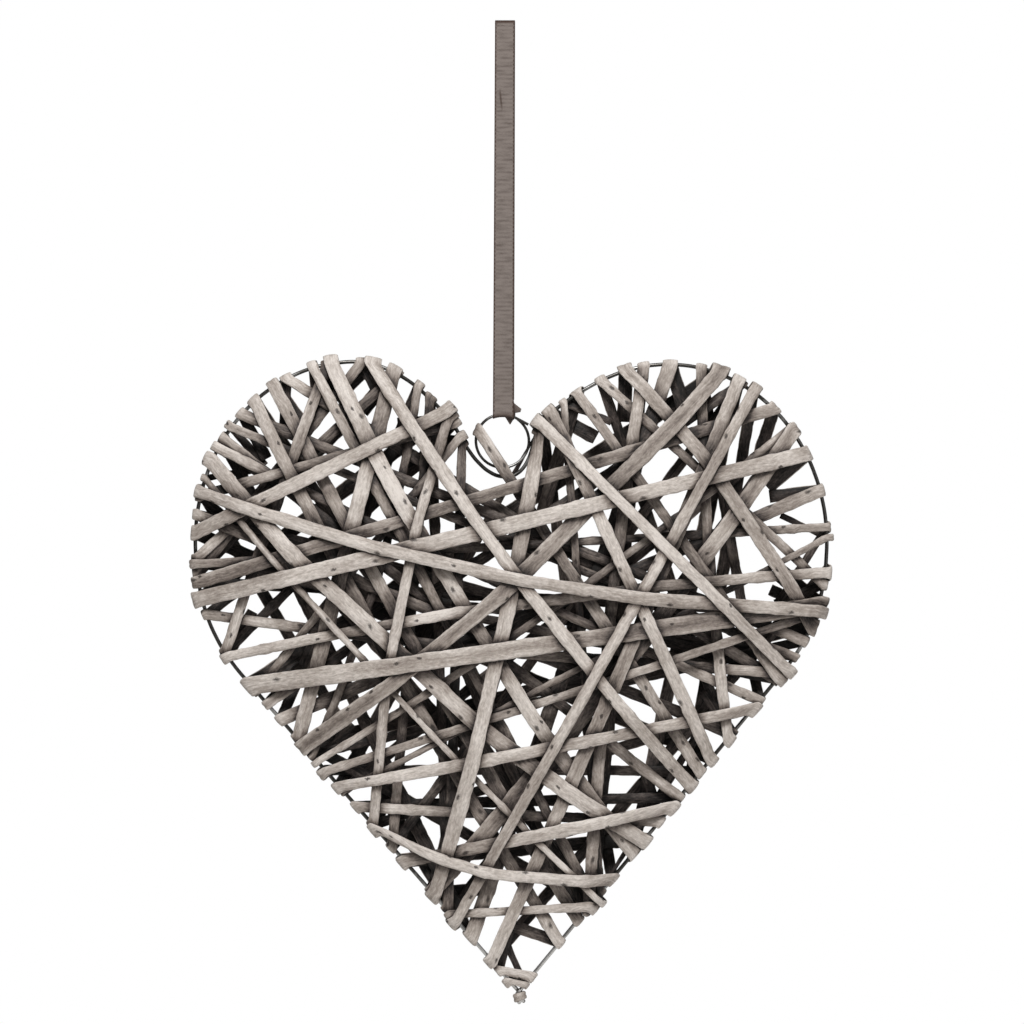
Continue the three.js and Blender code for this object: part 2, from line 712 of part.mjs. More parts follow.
// Strip wound once round the twisted wires
function tipWrapGeometry() {
  const inner = TWIST_RADIUS + RIM_WIRE_RADIUS + TIP_WRAP_GAP;
  const rings = Array.from({ length: TIP_WRAP_STEPS + 1 }, (_, k) => {
    const share = k / TIP_WRAP_STEPS;
    const ray = acrossTwist(TIP_WRAP_TURN * share);
    const place = TIP_WRAP_PLACE + TIP_WRAP_PITCH * (share - 0.5);
    return {
      centre: twistStart.clone().addScaledVector(twistAxis, place).addScaledVector(ray, inner),
      half: twistAxis.clone().multiplyScalar(TIP_WRAP_WIDTH / 2),
      rise: ray.multiplyScalar(STRIP_THICKNESS),
    };
  });
  return bandGeometry(rings);
}

// Rim wire: the outline with its two ends twisted together at the tip
function rimWireGeometry() {
  const twisted = (phase) => Array.from({ length: TWIST_STEPS + 1 }, (_, k) => {
    const turn = phase + 2 * Math.PI * TWIST_TURNS * k / TWIST_STEPS;
    return twistStart.clone().addScaledVector(twistAxis, TWIST_LENGTH * k / TWIST_STEPS)
      .addScaledVector(acrossTwist(turn), TWIST_RADIUS);
  });
  const bends = rimPath().getPoints(RIM_DIVISIONS).slice(1, -1).map(
    (p) => new THREE.Vector2(p.x + HEART_AXIS_X, p.y + HEART_FOOT_Z));
  const outline = [rimBar(TWIST_START).centre, ...bends, rimBar(WHOLE_RIM - TWIST_START).centre].map(
    (p) => new THREE.Vector3(p.x, 0, p.y));
  const points = [...twisted(0).reverse(), ...outline, ...twisted(Math.PI)];
  return tubeGeometry(points, RIM_WIRE_RADIUS, RIM_WIRE_SIDES);
}

// Closed tube through points, its sections carried along without turning
function tubeGeometry(points, radius, sides) {
  const rings = [];
  let normal = new THREE.Vector3(0, 1, 0);
  points.forEach((p, k) => {
    const before = points[Math.max(0, k - 1)];
    const after = points[Math.min(points.length - 1, k + 1)];
    const heading = after.clone().sub(before).normalize();
    normal = normal.clone().addScaledVector(heading, -normal.dot(heading)).normalize();
    const across = new THREE.Vector3().crossVectors(heading, normal);
    rings.push(Array.from({ length: sides }, (_, i) => {
      const turn = 2 * Math.PI * i / sides;
      return p.clone().addScaledVector(normal, radius * Math.cos(turn))
        .addScaledVector(across, radius * Math.sin(turn)).toArray();
    }));
  });
  const positions = [];
  for (let k = 0; k + 1 < rings.length; k += 1) {
    for (let i = 0; i < sides; i += 1) {
      const j = (i + 1) % sides;
      const [a, b, c, d] = [rings[k][i], rings[k][j], rings[k + 1][j], rings[k + 1][i]];
      positions.push(...a, ...b, ...c, ...a, ...c, ...d);
    }
  }
  for (let i = 1; i + 1 < sides; i += 1) {
    positions.push(...rings[0][0], ...rings[0][i + 1], ...rings[0][i]);
    positions.push(...rings.at(-1)[0], ...rings.at(-1)[i], ...rings.at(-1)[i + 1]);
  }
  const geometry = new THREE.BufferGeometry();
  geometry.setAttribute('position', new THREE.Float32BufferAttribute(positions, 3));
  return outwards(mergeVertices(geometry, 1e-4));
}

// Wire ring standing in the cleft: a straight end from the neck, then one turn that ends behind its start
function ringGeometry() {
  const reach = RING_OUTER_RADIUS - RING_WIRE_RADIUS;
  const turn = Array.from({ length: RING_STEPS + 1 }, (_, k) => {
    const share = k / RING_STEPS;
    const angle = RING_LEAVE_ANGLE + (2 * Math.PI - RING_END_GAP) * share;
    const y = RING_COIL_STEP * THREE.MathUtils.smoothstep(share, 0.5, 1);
    return new THREE.Vector3(RING_X + reach * Math.cos(angle), y, RING_Z + reach * Math.sin(angle));
  });
  const onwards = new THREE.Vector3(Math.sin(RING_LEAVE_ANGLE), 0, -Math.cos(RING_LEAVE_ANGLE));
  const neckEnd = turn[0].clone().addScaledVector(onwards, RING_TAIL_LENGTH);
  return tubeGeometry([neckEnd, ...turn], RING_WIRE_RADIUS, RING_WIRE_SIDES);
}

// Ribbon: two legs lying together, folded at the top and round the ring's wire at the bottom
function ribbonGeometry() {
  const wireZ = RING_Z + RING_OUTER_RADIUS - RING_WIRE_RADIUS;
  const inner = RIBBON_LEG_GAP / 2;
  const outer = inner + RIBBON_THICKNESS;
  const hug = RING_WIRE_RADIUS + RIBBON_RING_GAP;
  const contour = (y, top, reach) => {
    const arc = Array.from({ length: RIBBON_ARC_STEPS + 1 }, (_, k) => {
      const turn = Math.PI * k / RIBBON_ARC_STEPS;
      return new THREE.Vector2(-reach * Math.cos(turn), wireZ - reach * Math.sin(turn));
    });
    return [new THREE.Vector2(-y, top), new THREE.Vector2(-y, wireZ + RIBBON_SPREAD_HEIGHT), ...arc,
      new THREE.Vector2(y, wireZ + RIBBON_SPREAD_HEIGHT), new THREE.Vector2(y, top)];
  };
  const shape = new THREE.Shape(contour(outer, 0, hug + RIBBON_THICKNESS));
  shape.holes.push(new THREE.Path(contour(inner, -RIBBON_THICKNESS, hug).reverse()));
  const geometry = new THREE.ExtrudeGeometry(shape, {
    depth: RIBBON_WIDTH, steps: RIBBON_STEPS, bevelEnabled: false,
  });
  geometry.translate(0, 0, -RIBBON_WIDTH / 2);
  const at = geometry.attributes.position;
  for (let i = 0; i < at.count; i += 1) {
    const [y, z, across] = [at.getX(i), at.getY(i), at.getZ(i)];
    const x = across + RIBBON_DRIFT * z / wireZ;
    const nearRing = THREE.MathUtils.clamp((wireZ + RIBBON_SPREAD_HEIGHT - z) / RIBBON_SPREAD_HEIGHT, 0, 1);
    const reach = RING_OUTER_RADIUS - RING_WIRE_RADIUS;
    const sag = reach - Math.sqrt(reach ** 2 - (x - RING_X) ** 2);
    at.setXYZ(i, x, y, z - sag * nearRing);
  }
  geometry.deleteAttribute('normal');
  geometry.deleteAttribute('uv');
  return outwards(mergeVertices(geometry, 1e-4));
}

// Cut ribbon ends that show behind the legs
function ribbonEndGeometry(outline) {
  const shape = new THREE.Shape(outline.map(([x, z]) => new THREE.Vector2(RING_X + x, RING_Z + z)));
  const geometry = new THREE.ExtrudeGeometry(shape, { depth: RIBBON_THICKNESS, bevelEnabled: false });
  geometry.rotateX(Math.PI / 2);
  geometry.translate(0, RIBBON_ENDS_Y + RIBBON_THICKNESS, 0);
  return geometry;
}

const heart = new THREE.Group();

function add(name, geometry, material) {
  const mesh = new THREE.Mesh(geometry, material);
  mesh.name = name;
  heart.add(mesh);
}

const rimWire = rimWireGeometry();
const ring = ringGeometry();
coverWithGeometry(rimWire);
coverWithGeometry(ring);
add('rim_wire', rimWire, wire);
add('hanging_ring', ring, wire);
add('ribbon', ribbonGeometry(), grosgrain);
add('ribbon_ends', ribbonEndGeometry(RIBBON_ENDS), grosgrain);

add('tip_wrap', tipWrapGeometry(), willow);
add('tip_binding', windSkein(TIP_COURSES), willow);
for (let n = 0; n * COURSES_PER_SKEIN < FRONT_COURSES.length; n += 1) {
  const courses = FRONT_COURSES.slice(n * COURSES_PER_SKEIN, (n + 1) * COURSES_PER_SKEIN);
  add(`willow_skein_${String(n + 1).padStart(2, '0')}`, windSkein(courses), willow);
}

export default heart;
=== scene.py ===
"""Looks for a wicker heart: split willow wound over a wire rim, hung from a ring by a grosgrain ribbon."""

import logging
import math
from dataclasses import dataclass, field
from enum import Enum

import bpy
import numpy as np
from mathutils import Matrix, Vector
from mathutils.bvhtree import BVHTree

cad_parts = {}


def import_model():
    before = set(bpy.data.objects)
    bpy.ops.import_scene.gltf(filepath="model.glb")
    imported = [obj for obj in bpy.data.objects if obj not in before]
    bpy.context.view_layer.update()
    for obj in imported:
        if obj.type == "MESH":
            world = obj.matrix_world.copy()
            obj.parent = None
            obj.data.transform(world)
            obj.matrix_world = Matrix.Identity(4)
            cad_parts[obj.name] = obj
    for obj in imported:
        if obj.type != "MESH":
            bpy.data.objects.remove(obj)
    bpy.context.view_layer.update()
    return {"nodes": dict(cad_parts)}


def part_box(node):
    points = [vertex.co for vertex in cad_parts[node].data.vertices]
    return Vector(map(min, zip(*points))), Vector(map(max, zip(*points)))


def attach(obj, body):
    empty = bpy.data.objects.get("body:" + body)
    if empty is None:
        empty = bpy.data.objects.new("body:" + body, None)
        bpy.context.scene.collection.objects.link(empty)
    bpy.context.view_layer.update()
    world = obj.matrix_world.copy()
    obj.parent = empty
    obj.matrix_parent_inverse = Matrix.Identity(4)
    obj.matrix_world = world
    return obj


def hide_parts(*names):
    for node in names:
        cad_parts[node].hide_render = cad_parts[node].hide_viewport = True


LOG = logging.getLogger("wicker_heart")
MM = 0.001
BODY = "root"


class Mark(Enum):
    """Values that a piece stores at each of its points."""

    # Painted shade as well as whitewash: how open each point is sets how dark the willow is painted.
    WASH = "wash_and_shade"
    TONE = "tone"
    PLACE = "place"
    SHADE = "shade"
    ROW = "row"
    COLUMN = "column"


class Pattern(Enum):
    """UV maps, which lay a piece out flat in millimetres."""

    STRIP = "strip_mm"
    WIRE = "wire_mm"
    RIBBON = "ribbon_mm"


def linear(code: str) -> tuple[float, float, float, float]:
    """Turn an sRGB hex colour into linear light.

    Args:
        code: six hex digits, such as "c8beb4".

    Returns:
        Linear red, green, blue and an alpha of one.
    """
    channels = [int(code[i:i + 2], 16) / 255 for i in (0, 2, 4)]
    light = [c / 12.92 if c <= 0.04045 else ((c + 0.055) / 1.055) ** 2.4 for c in channels]
    return (light[0], light[1], light[2], 1.0)


def add_node(tree: bpy.types.NodeTree, kind: str, props: dict | None = None,
             values: dict | None = None, links: dict | None = None) -> bpy.types.Node:
    """Add one node with its settings and its incoming links.

    Args:
        tree: the node tree that the node joins.
        kind: the node's Blender type.
        props: attributes of the node itself.
        values: values for its input sockets, by name or number.
        links: output sockets that feed its inputs, by name or number.

    Returns:
        The new node.
    """
    node = tree.nodes.new(kind)
    for name, value in (props or {}).items():
        setattr(node, name, value)
    for name, value in (values or {}).items():
        node.inputs[name].default_value = value
    for name, source in (links or {}).items():
        tree.links.new(source, node.inputs[name])
    return node


def stretched_noise(tree: bpy.types.NodeTree, uv: bpy.types.NodeSocket, scale: tuple[float, float],
                    detail: float, roughness: float, distortion: float = 0.0) -> bpy.types.NodeSocket:
    """Add a noise pattern with its own scale across and along a piece.

    Args:
        tree: the material's node tree.
        uv: the piece laid out flat, in millimetres.
        scale: patches for each millimetre, across and along.
        detail: how many finer layers the pattern has.
        roughness: how strong the finer layers are.
        distortion: how far the pattern is bent.

    Returns:
        The pattern's value.
    """
    place = add_node(tree, "ShaderNodeMapping", values={"Scale": (*scale, 1)}, links={"Vector": uv})
    noise = add_node(
        tree, "ShaderNodeTexNoise", {"noise_dimensions": "2D"},
        {"Scale": 1.0, "Detail": detail, "Roughness": roughness, "Distortion": distortion},
        {"Vector": place.outputs[0]})
    return noise.outputs[0]


def new_material(name: str) -> tuple[bpy.types.Material, bpy.types.NodeTree]:
    """Make an empty node material and its output.

    Args:
        name: the material's name.

    Returns:
        The material and its node tree, which holds only the output node.
    """
    material = bpy.data.materials.new(name)
    material.use_nodes = True
    tree = material.node_tree
    tree.nodes.clear()
    add_node(tree, "ShaderNodeOutputMaterial")
    return material, tree


def finish_material(tree: bpy.types.NodeTree, shader: bpy.types.Node) -> None:
    """Join a shader to the tree's output.

    Args:
        tree: the material's node tree.
        shader: the shader node that it ends in.
    """
    output = next(node for node in tree.nodes if node.type == "OUTPUT_MATERIAL")
    tree.links.new(shader.outputs[0], output.inputs["Surface"])


def fill_ramp(ramp: bpy.types.Node, stops: list[tuple[float, str]]) -> None:
    """Set a colour ramp's stops.

    Args:
        ramp: the ramp node.
        stops: place and sRGB hex colour of each stop, in order.
    """
    elements = ramp.color_ramp.elements
    while len(elements) < len(stops):
        elements.new(0.5)
    for element, (place, code) in zip(elements, stops):
        element.position = place
        element.color = linear(code)


@dataclass(frozen=True)
class WashedWillow:
    """Split willow, stripped, dried grey and brushed with thin whitewash.

    Its colour is partly whitewash and partly painted shade: a level baked from how open each place is
    paints strips under others, hollows and inner faces dark brown.
    Grain runs along each strip as fine streaks, with dark pits where leaf buds were.
    """

    sheltered_shade: str = "16120f"
    shaded: str = "453c38"
    half_washed_and_shaded: str = "7e736b"
    washed: str = "ada299"
    thick_wash: str = "e5dcd4"
    pit: str = "2c2420"
    streak_width_mm: float = 0.8
    streak_length_mm: float = 13.0
    fleck_mm: float = 1.1
    stain_mm: float = 24.0
    pit_spacing_mm: float = 8.5
    pit_stretch: float = 0.55
    pit_ragged_mm: float = 0.5
    pit_core: float = 0.05
    pit_least: float = 0.075
    pit_spread: float = 0.07
    pit_bare_share: float = 0.45
    pit_strength: float = 0.85
    open_level: float = 0.88
    stain: float = 0.55
    streak: float = 0.36
    fleck: float = 0.5
    dome_mm: float = 0.22
    grain_mm: float = 0.2
    roughness: float = 0.6

    def level(self, tree: bpy.types.NodeTree, patterns: list) -> bpy.types.NodeSocket:
        """Work out the level of whitewash and painted shade at each place.

        Args:
            tree: the material's node tree.
            patterns: value and strength of each pattern that varies it.

        Returns:
            The level, from 0, unwashed and darkest in painted shade, to 1, open and thickly washed.
        """
        wash_and_shade = add_node(tree, "ShaderNodeAttribute", {"attribute_name": Mark.WASH.value}).outputs["Fac"]
        tone = add_node(tree, "ShaderNodeAttribute", {"attribute_name": Mark.TONE.value}).outputs["Fac"]
        level = add_node(
            tree, "ShaderNodeMath", {"operation": "MULTIPLY_ADD"}, {1: self.open_level},
            {0: wash_and_shade, 2: tone}).outputs[0]
        for pattern, strength in patterns:
            centred = add_node(tree, "ShaderNodeMath", {"operation": "SUBTRACT"}, {1: 0.5}, {0: pattern})
            level = add_node(
                tree, "ShaderNodeMath", {"operation": "MULTIPLY_ADD"}, {1: strength},
                {0: centred.outputs[0], 2: level}).outputs[0]
        return level

    def pits(self, tree: bpy.types.NodeTree, uv: bpy.types.NodeSocket) -> bpy.types.NodeSocket:
        """Scatter the pits that leaf buds left.

        Args:
            tree: the material's node tree.
            uv: the strip laid out flat, in millimetres.

        Returns:
            How deep the pit is at each place, from 0 to 1.
        """
        ragged = add_node(
            tree, "ShaderNodeTexNoise", {"noise_dimensions": "2D"},
            {"Scale": 1.4, "Detail": 2.0}, {"Vector": uv})
        shift = add_node(
            tree, "ShaderNodeVectorMath", {"operation": "MULTIPLY_ADD"},
            {1: (2 * self.pit_ragged_mm, 3 * self.pit_ragged_mm, 0)}, {0: ragged.outputs["Color"], 2: uv})
        scale = (1 / self.pit_spacing_mm, self.pit_stretch / self.pit_spacing_mm, 1)
        place = add_node(
            tree, "ShaderNodeMapping", values={"Scale": scale}, links={"Vector": shift.outputs[0]})
        cells = add_node(
            tree, "ShaderNodeTexVoronoi", {"voronoi_dimensions": "2D", "feature": "F1"},
            {"Scale": 1.0, "Randomness": 1.0}, {"Vector": place.outputs[0]})
        chance = add_node(tree, "ShaderNodeSeparateColor", links={"Color": cells.outputs["Color"]})
        edge = add_node(
            tree, "ShaderNodeMath", {"operation": "MULTIPLY_ADD"},
            {1: self.pit_spread, 2: self.pit_least}, {0: chance.outputs["Green"]})
        depth = add_node(
            tree, "ShaderNodeMapRange", values={"From Min": self.pit_core, "To Min": 1.0, "To Max": 0.0},
            links={"Value": cells.outputs["Distance"], "From Max": edge.outputs[0]})
        here = add_node(
            tree, "ShaderNodeMath", {"operation": "GREATER_THAN"}, {1: self.pit_bare_share},
            {0: chance.outputs["Red"]})
        return add_node(
            tree, "ShaderNodeMath", {"operation": "MULTIPLY"},
            links={0: depth.outputs[0], 1: here.outputs[0]}).outputs[0]

    def relief(self, tree: bpy.types.NodeTree, streaks: bpy.types.NodeSocket,
               flecks: bpy.types.NodeSocket, pits: bpy.types.NodeSocket) -> bpy.types.Node:
        """Round the strip's face and roughen it with grain and pits.

        Args:
            tree: the material's node tree.
            streaks: the grain's value.
            flecks: the flecks' value.
            pits: the pits' depth.

        Returns:
            The bump node.
        """
        place = add_node(tree, "ShaderNodeAttribute", {"attribute_name": Mark.PLACE.value}).outputs["Fac"]
        fall = add_node(tree, "ShaderNodeMath", {"operation": "POWER"}, {1: 2.0}, {0: place})
        dome = add_node(
            tree, "ShaderNodeMath", {"operation": "MULTIPLY"}, {1: -self.dome_mm}, {0: fall.outputs[0]})
        grain = add_node(tree, "ShaderNodeMath", {"operation": "ADD"}, links={0: streaks, 1: flecks})
        rough = add_node(
            tree, "ShaderNodeMath", {"operation": "SUBTRACT"}, links={0: grain.outputs[0], 1: pits})
        height = add_node(
            tree, "ShaderNodeMath", {"operation": "MULTIPLY_ADD"}, {1: self.grain_mm},
            {0: rough.outputs[0], 2: dome.outputs[0]})
        return add_node(
            tree, "ShaderNodeBump", values={"Strength": 1.0, "Distance": MM},
            links={"Height": height.outputs[0]})

    def material(self) -> bpy.types.Material:
        """Build the willow's material.

        Returns:
            The material.
        """
        # Real finish: dried split willow with thin whitewash brushed over it. The ramp's dark end is
        # painted shade, laid on places that other strips cover.
        material, tree = new_material("white_washed_split_willow")
        uv = add_node(tree, "ShaderNodeUVMap", {"uv_map": Pattern.STRIP.value}).outputs[0]
        streaks = stretched_noise(
            tree, uv, (1 / self.streak_width_mm, 1 / self.streak_length_mm), 5.0, 0.62, 0.25)
        stains = stretched_noise(tree, uv, (3 / self.stain_mm, 1 / self.stain_mm), 4.0, 0.6)
        flecks = stretched_noise(tree, uv, (1 / self.fleck_mm, 0.4 / self.fleck_mm), 3.0, 0.7)
        level = self.level(
            tree, [(stains, self.stain), (streaks, self.streak), (flecks, self.fleck)])
        # Painted shade: the darker stops colour covered places and hollows.
        ramp = add_node(tree, "ShaderNodeValToRGB", links={"Fac": level})
        fill_ramp(ramp, [(0.0, self.sheltered_shade), (0.2, self.shaded), (0.45, self.half_washed_and_shaded),
                         (0.7, self.washed), (1.0, self.thick_wash)])
        pits = self.pits(tree, uv)
        pit_fade = add_node(
            tree, "ShaderNodeMath", {"operation": "MULTIPLY"}, {1: self.pit_strength}, {0: pits})
        colour = add_node(
            tree, "ShaderNodeMix", {"data_type": "RGBA"}, {"B": linear(self.pit)},
            {"Factor": pit_fade.outputs[0], "A": ramp.outputs["Color"]})
        bump = self.relief(tree, streaks, flecks, pits)
        shader = add_node(
            tree, "ShaderNodeBsdfPrincipled",
            values={"Roughness": self.roughness, "Specular IOR Level": 0.4},
            links={"Base Color": colour.outputs["Result"], "Normal": bump.outputs[0]})
        finish_material(tree, shader)
        return material


@dataclass(frozen=True)
class GalvanisedSteel:
    """Drawn steel wire with a thin zinc coating: dark grey in patches, with a painted highlight that makes
    it brighter towards the twisted ends below and painted shade higher up.
    """

    bright: str = "d8d6d3"
    dull: str = "54524f"
    patch_mm: float = 16.0
    smoothest: float = 0.2
    roughest: float = 0.44
    # Painted highlight and shade: heights over which the wire is painted brighter below and darker above.
    highlight_from: float = -0.38
    highlight_to: float = -0.44
    shade_above: float = -0.09
    highlight_below: float = 0.18

    def material(self) -> bpy.types.Material:
        """Build the wire's material.

        Returns:
            The material.
        """
        # Real finish: drawn steel, dipped in zinc, with painted highlight and shade by height on top of it.
        material, tree = new_material("galvanised_steel_wire")
        place = add_node(tree, "ShaderNodeTexCoord").outputs["Object"]
        patches = add_node(
            tree, "ShaderNodeTexNoise", values={"Scale": 1 / (self.patch_mm * MM), "Detail": 4.0},
            links={"Vector": place})
        height = add_node(tree, "ShaderNodeSeparateXYZ", links={"Vector": place})
        # Painted highlight and shade: the colour grows brighter towards the bottom and darker higher up.
        height_highlight = add_node(
            tree, "ShaderNodeMapRange",
            values={"From Min": self.highlight_from, "From Max": self.highlight_to,
                    "To Min": self.shade_above, "To Max": self.highlight_below},
            links={"Value": height.outputs["Z"]})
        coat_and_highlight = add_node(
            tree, "ShaderNodeMath", {"operation": "ADD"},
            links={0: patches.outputs[0], 1: height_highlight.outputs[0]})
        ramp = add_node(tree, "ShaderNodeValToRGB", links={"Fac": coat_and_highlight.outputs[0]})
        fill_ramp(ramp, [(0.44, self.dull), (0.64, self.bright)])
        rough = add_node(
            tree, "ShaderNodeMapRange",
            values={"To Min": self.smoothest, "To Max": self.roughest},
            links={"Value": patches.outputs[0]})
        bump = add_node(
            tree, "ShaderNodeBump", values={"Strength": 0.2, "Distance": 0.05 * MM},
            links={"Height": patches.outputs[0]})
        shader = add_node(
            tree, "ShaderNodeBsdfPrincipled", values={"Metallic": 1.0},
            links={"Base Color": ramp.outputs["Color"], "Roughness": rough.outputs[0],
                   "Normal": bump.outputs[0]})
        finish_material(tree, shader)
        return material


@dataclass(frozen=True)
class GrosgrainRibbon:
    """Taupe polyester grosgrain: close faint ribs, a handled mottle and a darker woven edge, with painted
    shade at the top fold, the crease, the foot and the cut ends.
    """

    face: str = "837973"
    groove: str = "524843"
    # Also the colour of the painted shade at the top fold, the crease, the foot round the ring and the cut
    # ends.
    edge: str = "46362f"
    rib_mm: float = 1.9
    rib_strength: float = 0.08
    thread_mm: float = 0.28
    mottle_mm: float = 1.9
    mottle_strength: float = 0.6
    half_width_mm: float = 4.9
    edge_mm: float = 0.9
    scallop_mm: float = 0.2
    fold_shade_mm: float = 1.9

    def material(self) -> bpy.types.Material:
        """Build the ribbon's material.

        Returns:
            The material.
        """
        # Real finish: woven polyester grosgrain.
        material, tree = new_material("taupe_grosgrain")
        uv = add_node(tree, "ShaderNodeUVMap", {"uv_map": Pattern.RIBBON.value}).outputs[0]
        parts = add_node(tree, "ShaderNodeSeparateXYZ", links={"Vector": uv})
        turns = add_node(
            tree, "ShaderNodeMath", {"operation": "MULTIPLY"}, {1: 2 * math.pi / self.rib_mm},
            {0: parts.outputs["Y"]})
        ribs = add_node(tree, "ShaderNodeMath", {"operation": "SINE"}, links={0: turns.outputs[0]})
        threads = stretched_noise(tree, uv, (1 / self.thread_mm, 0.6 / self.thread_mm), 3.0, 0.7)
        mottle = stretched_noise(tree, uv, (0.3 / self.mottle_mm, 1 / self.mottle_mm), 1.5, 0.5)
        woven = add_node(
            tree, "ShaderNodeMath", {"operation": "MULTIPLY_ADD"}, {1: self.rib_strength},
            {0: ribs.outputs[0], 2: threads})
        mixed = add_node(
            tree, "ShaderNodeMath", {"operation": "MULTIPLY_ADD"}, {1: self.mottle_strength},
            {0: mottle, 2: woven.outputs[0]})
        ramp = add_node(tree, "ShaderNodeValToRGB", links={"Fac": mixed.outputs[0]})
        fill_ramp(ramp, [(0.38, self.groove), (0.88, self.face)])
        across = add_node(tree, "ShaderNodeMath", {"operation": "ABSOLUTE"}, links={0: parts.outputs["X"]})
        scallop = add_node(
            tree, "ShaderNodeMath", {"operation": "MULTIPLY_ADD"}, {1: self.scallop_mm},
            {0: ribs.outputs[0], 2: across.outputs[0]})
        at_edge = add_node(
            tree, "ShaderNodeMapRange",
            values={"From Min": self.half_width_mm - self.edge_mm,
                    "From Max": self.half_width_mm - 0.4 * self.edge_mm},
            links={"Value": scallop.outputs[0]})
        height = add_node(
            tree, "ShaderNodeSeparateXYZ",
            links={"Vector": add_node(tree, "ShaderNodeTexCoord").outputs["Object"]})
        # Painted shade: the top of the loop, where it folds over, is darkened towards the edge colour.
        painted_fold_shade = add_node(
            tree, "ShaderNodeMapRange",
            values={"From Min": -self.fold_shade_mm * MM, "From Max": -0.5 * self.fold_shade_mm * MM},
            links={"Value": height.outputs["Z"]})
        edge_and_fold_shade = add_node(
            tree, "ShaderNodeMath", {"operation": "MAXIMUM"},
            links={0: at_edge.outputs[0], 1: painted_fold_shade.outputs[0]})
        # Painted shade: the stored shade marks darken the crease, the foot round the ring and the cut ends.
        shade = add_node(tree, "ShaderNodeAttribute", {"attribute_name": Mark.SHADE.value}).outputs["Fac"]
        dark = add_node(
            tree, "ShaderNodeMath", {"operation": "MAXIMUM"}, links={0: edge_and_fold_shade.outputs[0], 1: shade})
        colour = add_node(
            tree, "ShaderNodeMix", {"data_type": "RGBA"}, {"B": linear(self.edge)},
            {"Factor": dark.outputs[0], "A": ramp.outputs["Color"]})
        bump = add_node(
            tree, "ShaderNodeBump", values={"Strength": 0.5, "Distance": 0.1 * MM},
            links={"Height": woven.outputs[0]})
        shader = add_node(
            tree, "ShaderNodeBsdfPrincipled",
            values={"Roughness": 0.88, "Specular IOR Level": 0.2, "Sheen Weight": 0.15,
                    "Sheen Roughness": 0.5},
            links={"Base Color": colour.outputs["Result"], "Normal": bump.outputs[0]})
        finish_material(tree, shader)
        return material


@dataclass(frozen=True)
class StudioPaper:
    """Matt white background paper."""

    colour: str = "f4f3f1"

    def material(self) -> bpy.types.Material:
        """Build the paper's material.

        Returns:
            The material.
        """
        # Real finish: matt background paper off the roll.
        material, tree = new_material("white_background_paper")
        fibres = add_node(
            tree, "ShaderNodeTexNoise", values={"Scale": 300.0, "Detail": 2.0})
        bump = add_node(
            tree, "ShaderNodeBump", values={"Strength": 0.05, "Distance": 0.1 * MM},
            links={"Height": fibres.outputs[0]})
        shader = add_node(
            tree, "ShaderNodeBsdfPrincipled",
            values={"Base Color": linear(self.colour), "Roughness": 0.95, "Specular IOR Level": 0.1},
            links={"Normal": bump.outputs[0]})
        finish_material(tree, shader)
        return material


@dataclass
class Frame:
    """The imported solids, read as plain triangles."""

    nodes: dict

    def triangles(self, name: str) -> tuple[np.ndarray, np.ndarray]:
        """Read one node's merged points and triangles.

        Args:
            name: the node's name.

        Returns:
            Points in metres, and three point numbers for each triangle.
        """
        mesh = self.nodes[name].data
        flat = np.empty(len(mesh.vertices) * 3)
        mesh.vertices.foreach_get("co", flat)
        turn = np.array(self.nodes[name].matrix_world)
        points = flat.reshape(-1, 3) @ turn[:3, :3].T + turn[:3, 3]
        corners = np.empty(len(mesh.loops), dtype=int)
        mesh.loops.foreach_get("vertex_index", corners)
        merged, index = np.unique(np.round(points, 6), axis=0, return_inverse=True)
        return merged, index.reshape(-1)[corners].reshape(-1, 3)


@dataclass
class Band:
    """A solid made of equal cross sections from one end to the other."""

    points: np.ndarray
    faces: np.ndarray
    sides: int
    near: list = field(default_factory=list)

    def __post_init__(self) -> None:
        """Note which points are joined by an edge."""
        self.near = [set() for _ in self.points]
        for a, b, c in self.faces:
            self.near[a] |= {b, c}
            self.near[b] |= {a, c}
            self.near[c] |= {a, b}

    def end_loop(self) -> list[int]:
        """Find the points round one end.

        Returns:
            Point numbers in their order round the end.
        """
        ends = {v for v, near in enumerate(self.near) if len(near) != 6}
        loop = {min(ends)}
        grown = True
        while grown:
            wider = loop | {n for v in loop for n in self.near[v] if n in ends}
            grown = len(wider) > len(loop)
            loop = wider
        caps = [set(face) for face in self.faces.tolist() if set(face) <= loop]
        rim = {v: [n for n in self.near[v] if n in loop and sum({v, n} <= cap for cap in caps) == 1]
               for v in loop}
        ordered = [min(loop)]
        while len(ordered) < self.sides:
            ordered.append(next(n for n in rim[ordered[-1]] if n not in ordered))
        return ordered

    def follow(self, shift: int) -> np.ndarray:
        """Walk the sections from one end.

        Args:
            shift: which neighbour in a section shares the next section's point, -1 or 1.

        Returns:
            Point numbers, one row for each section.
        """
        rows = [self.end_loop()]
        seen = set(rows[0])
        while True:
            last = rows[-1]
            fresh = {n for v in last for n in self.near[v]} - seen
            if not fresh:
                return np.array(rows)
            rows.append([
                next(iter(self.near[last[i]] & self.near[last[(i + shift) % self.sides]] & fresh))
                for i in range(self.sides)])
            seen |= fresh

    def sections(self) -> np.ndarray:
        """Give the corners of each section, joined the short way along the band.

        Returns:
            Points by section and by place round it.
        """
        walks = [self.points[self.follow(shift)] for shift in (-1, 1)]
        return min(walks, key=lambda rows: np.linalg.norm(rows[1:] - rows[:-1], axis=2).sum())


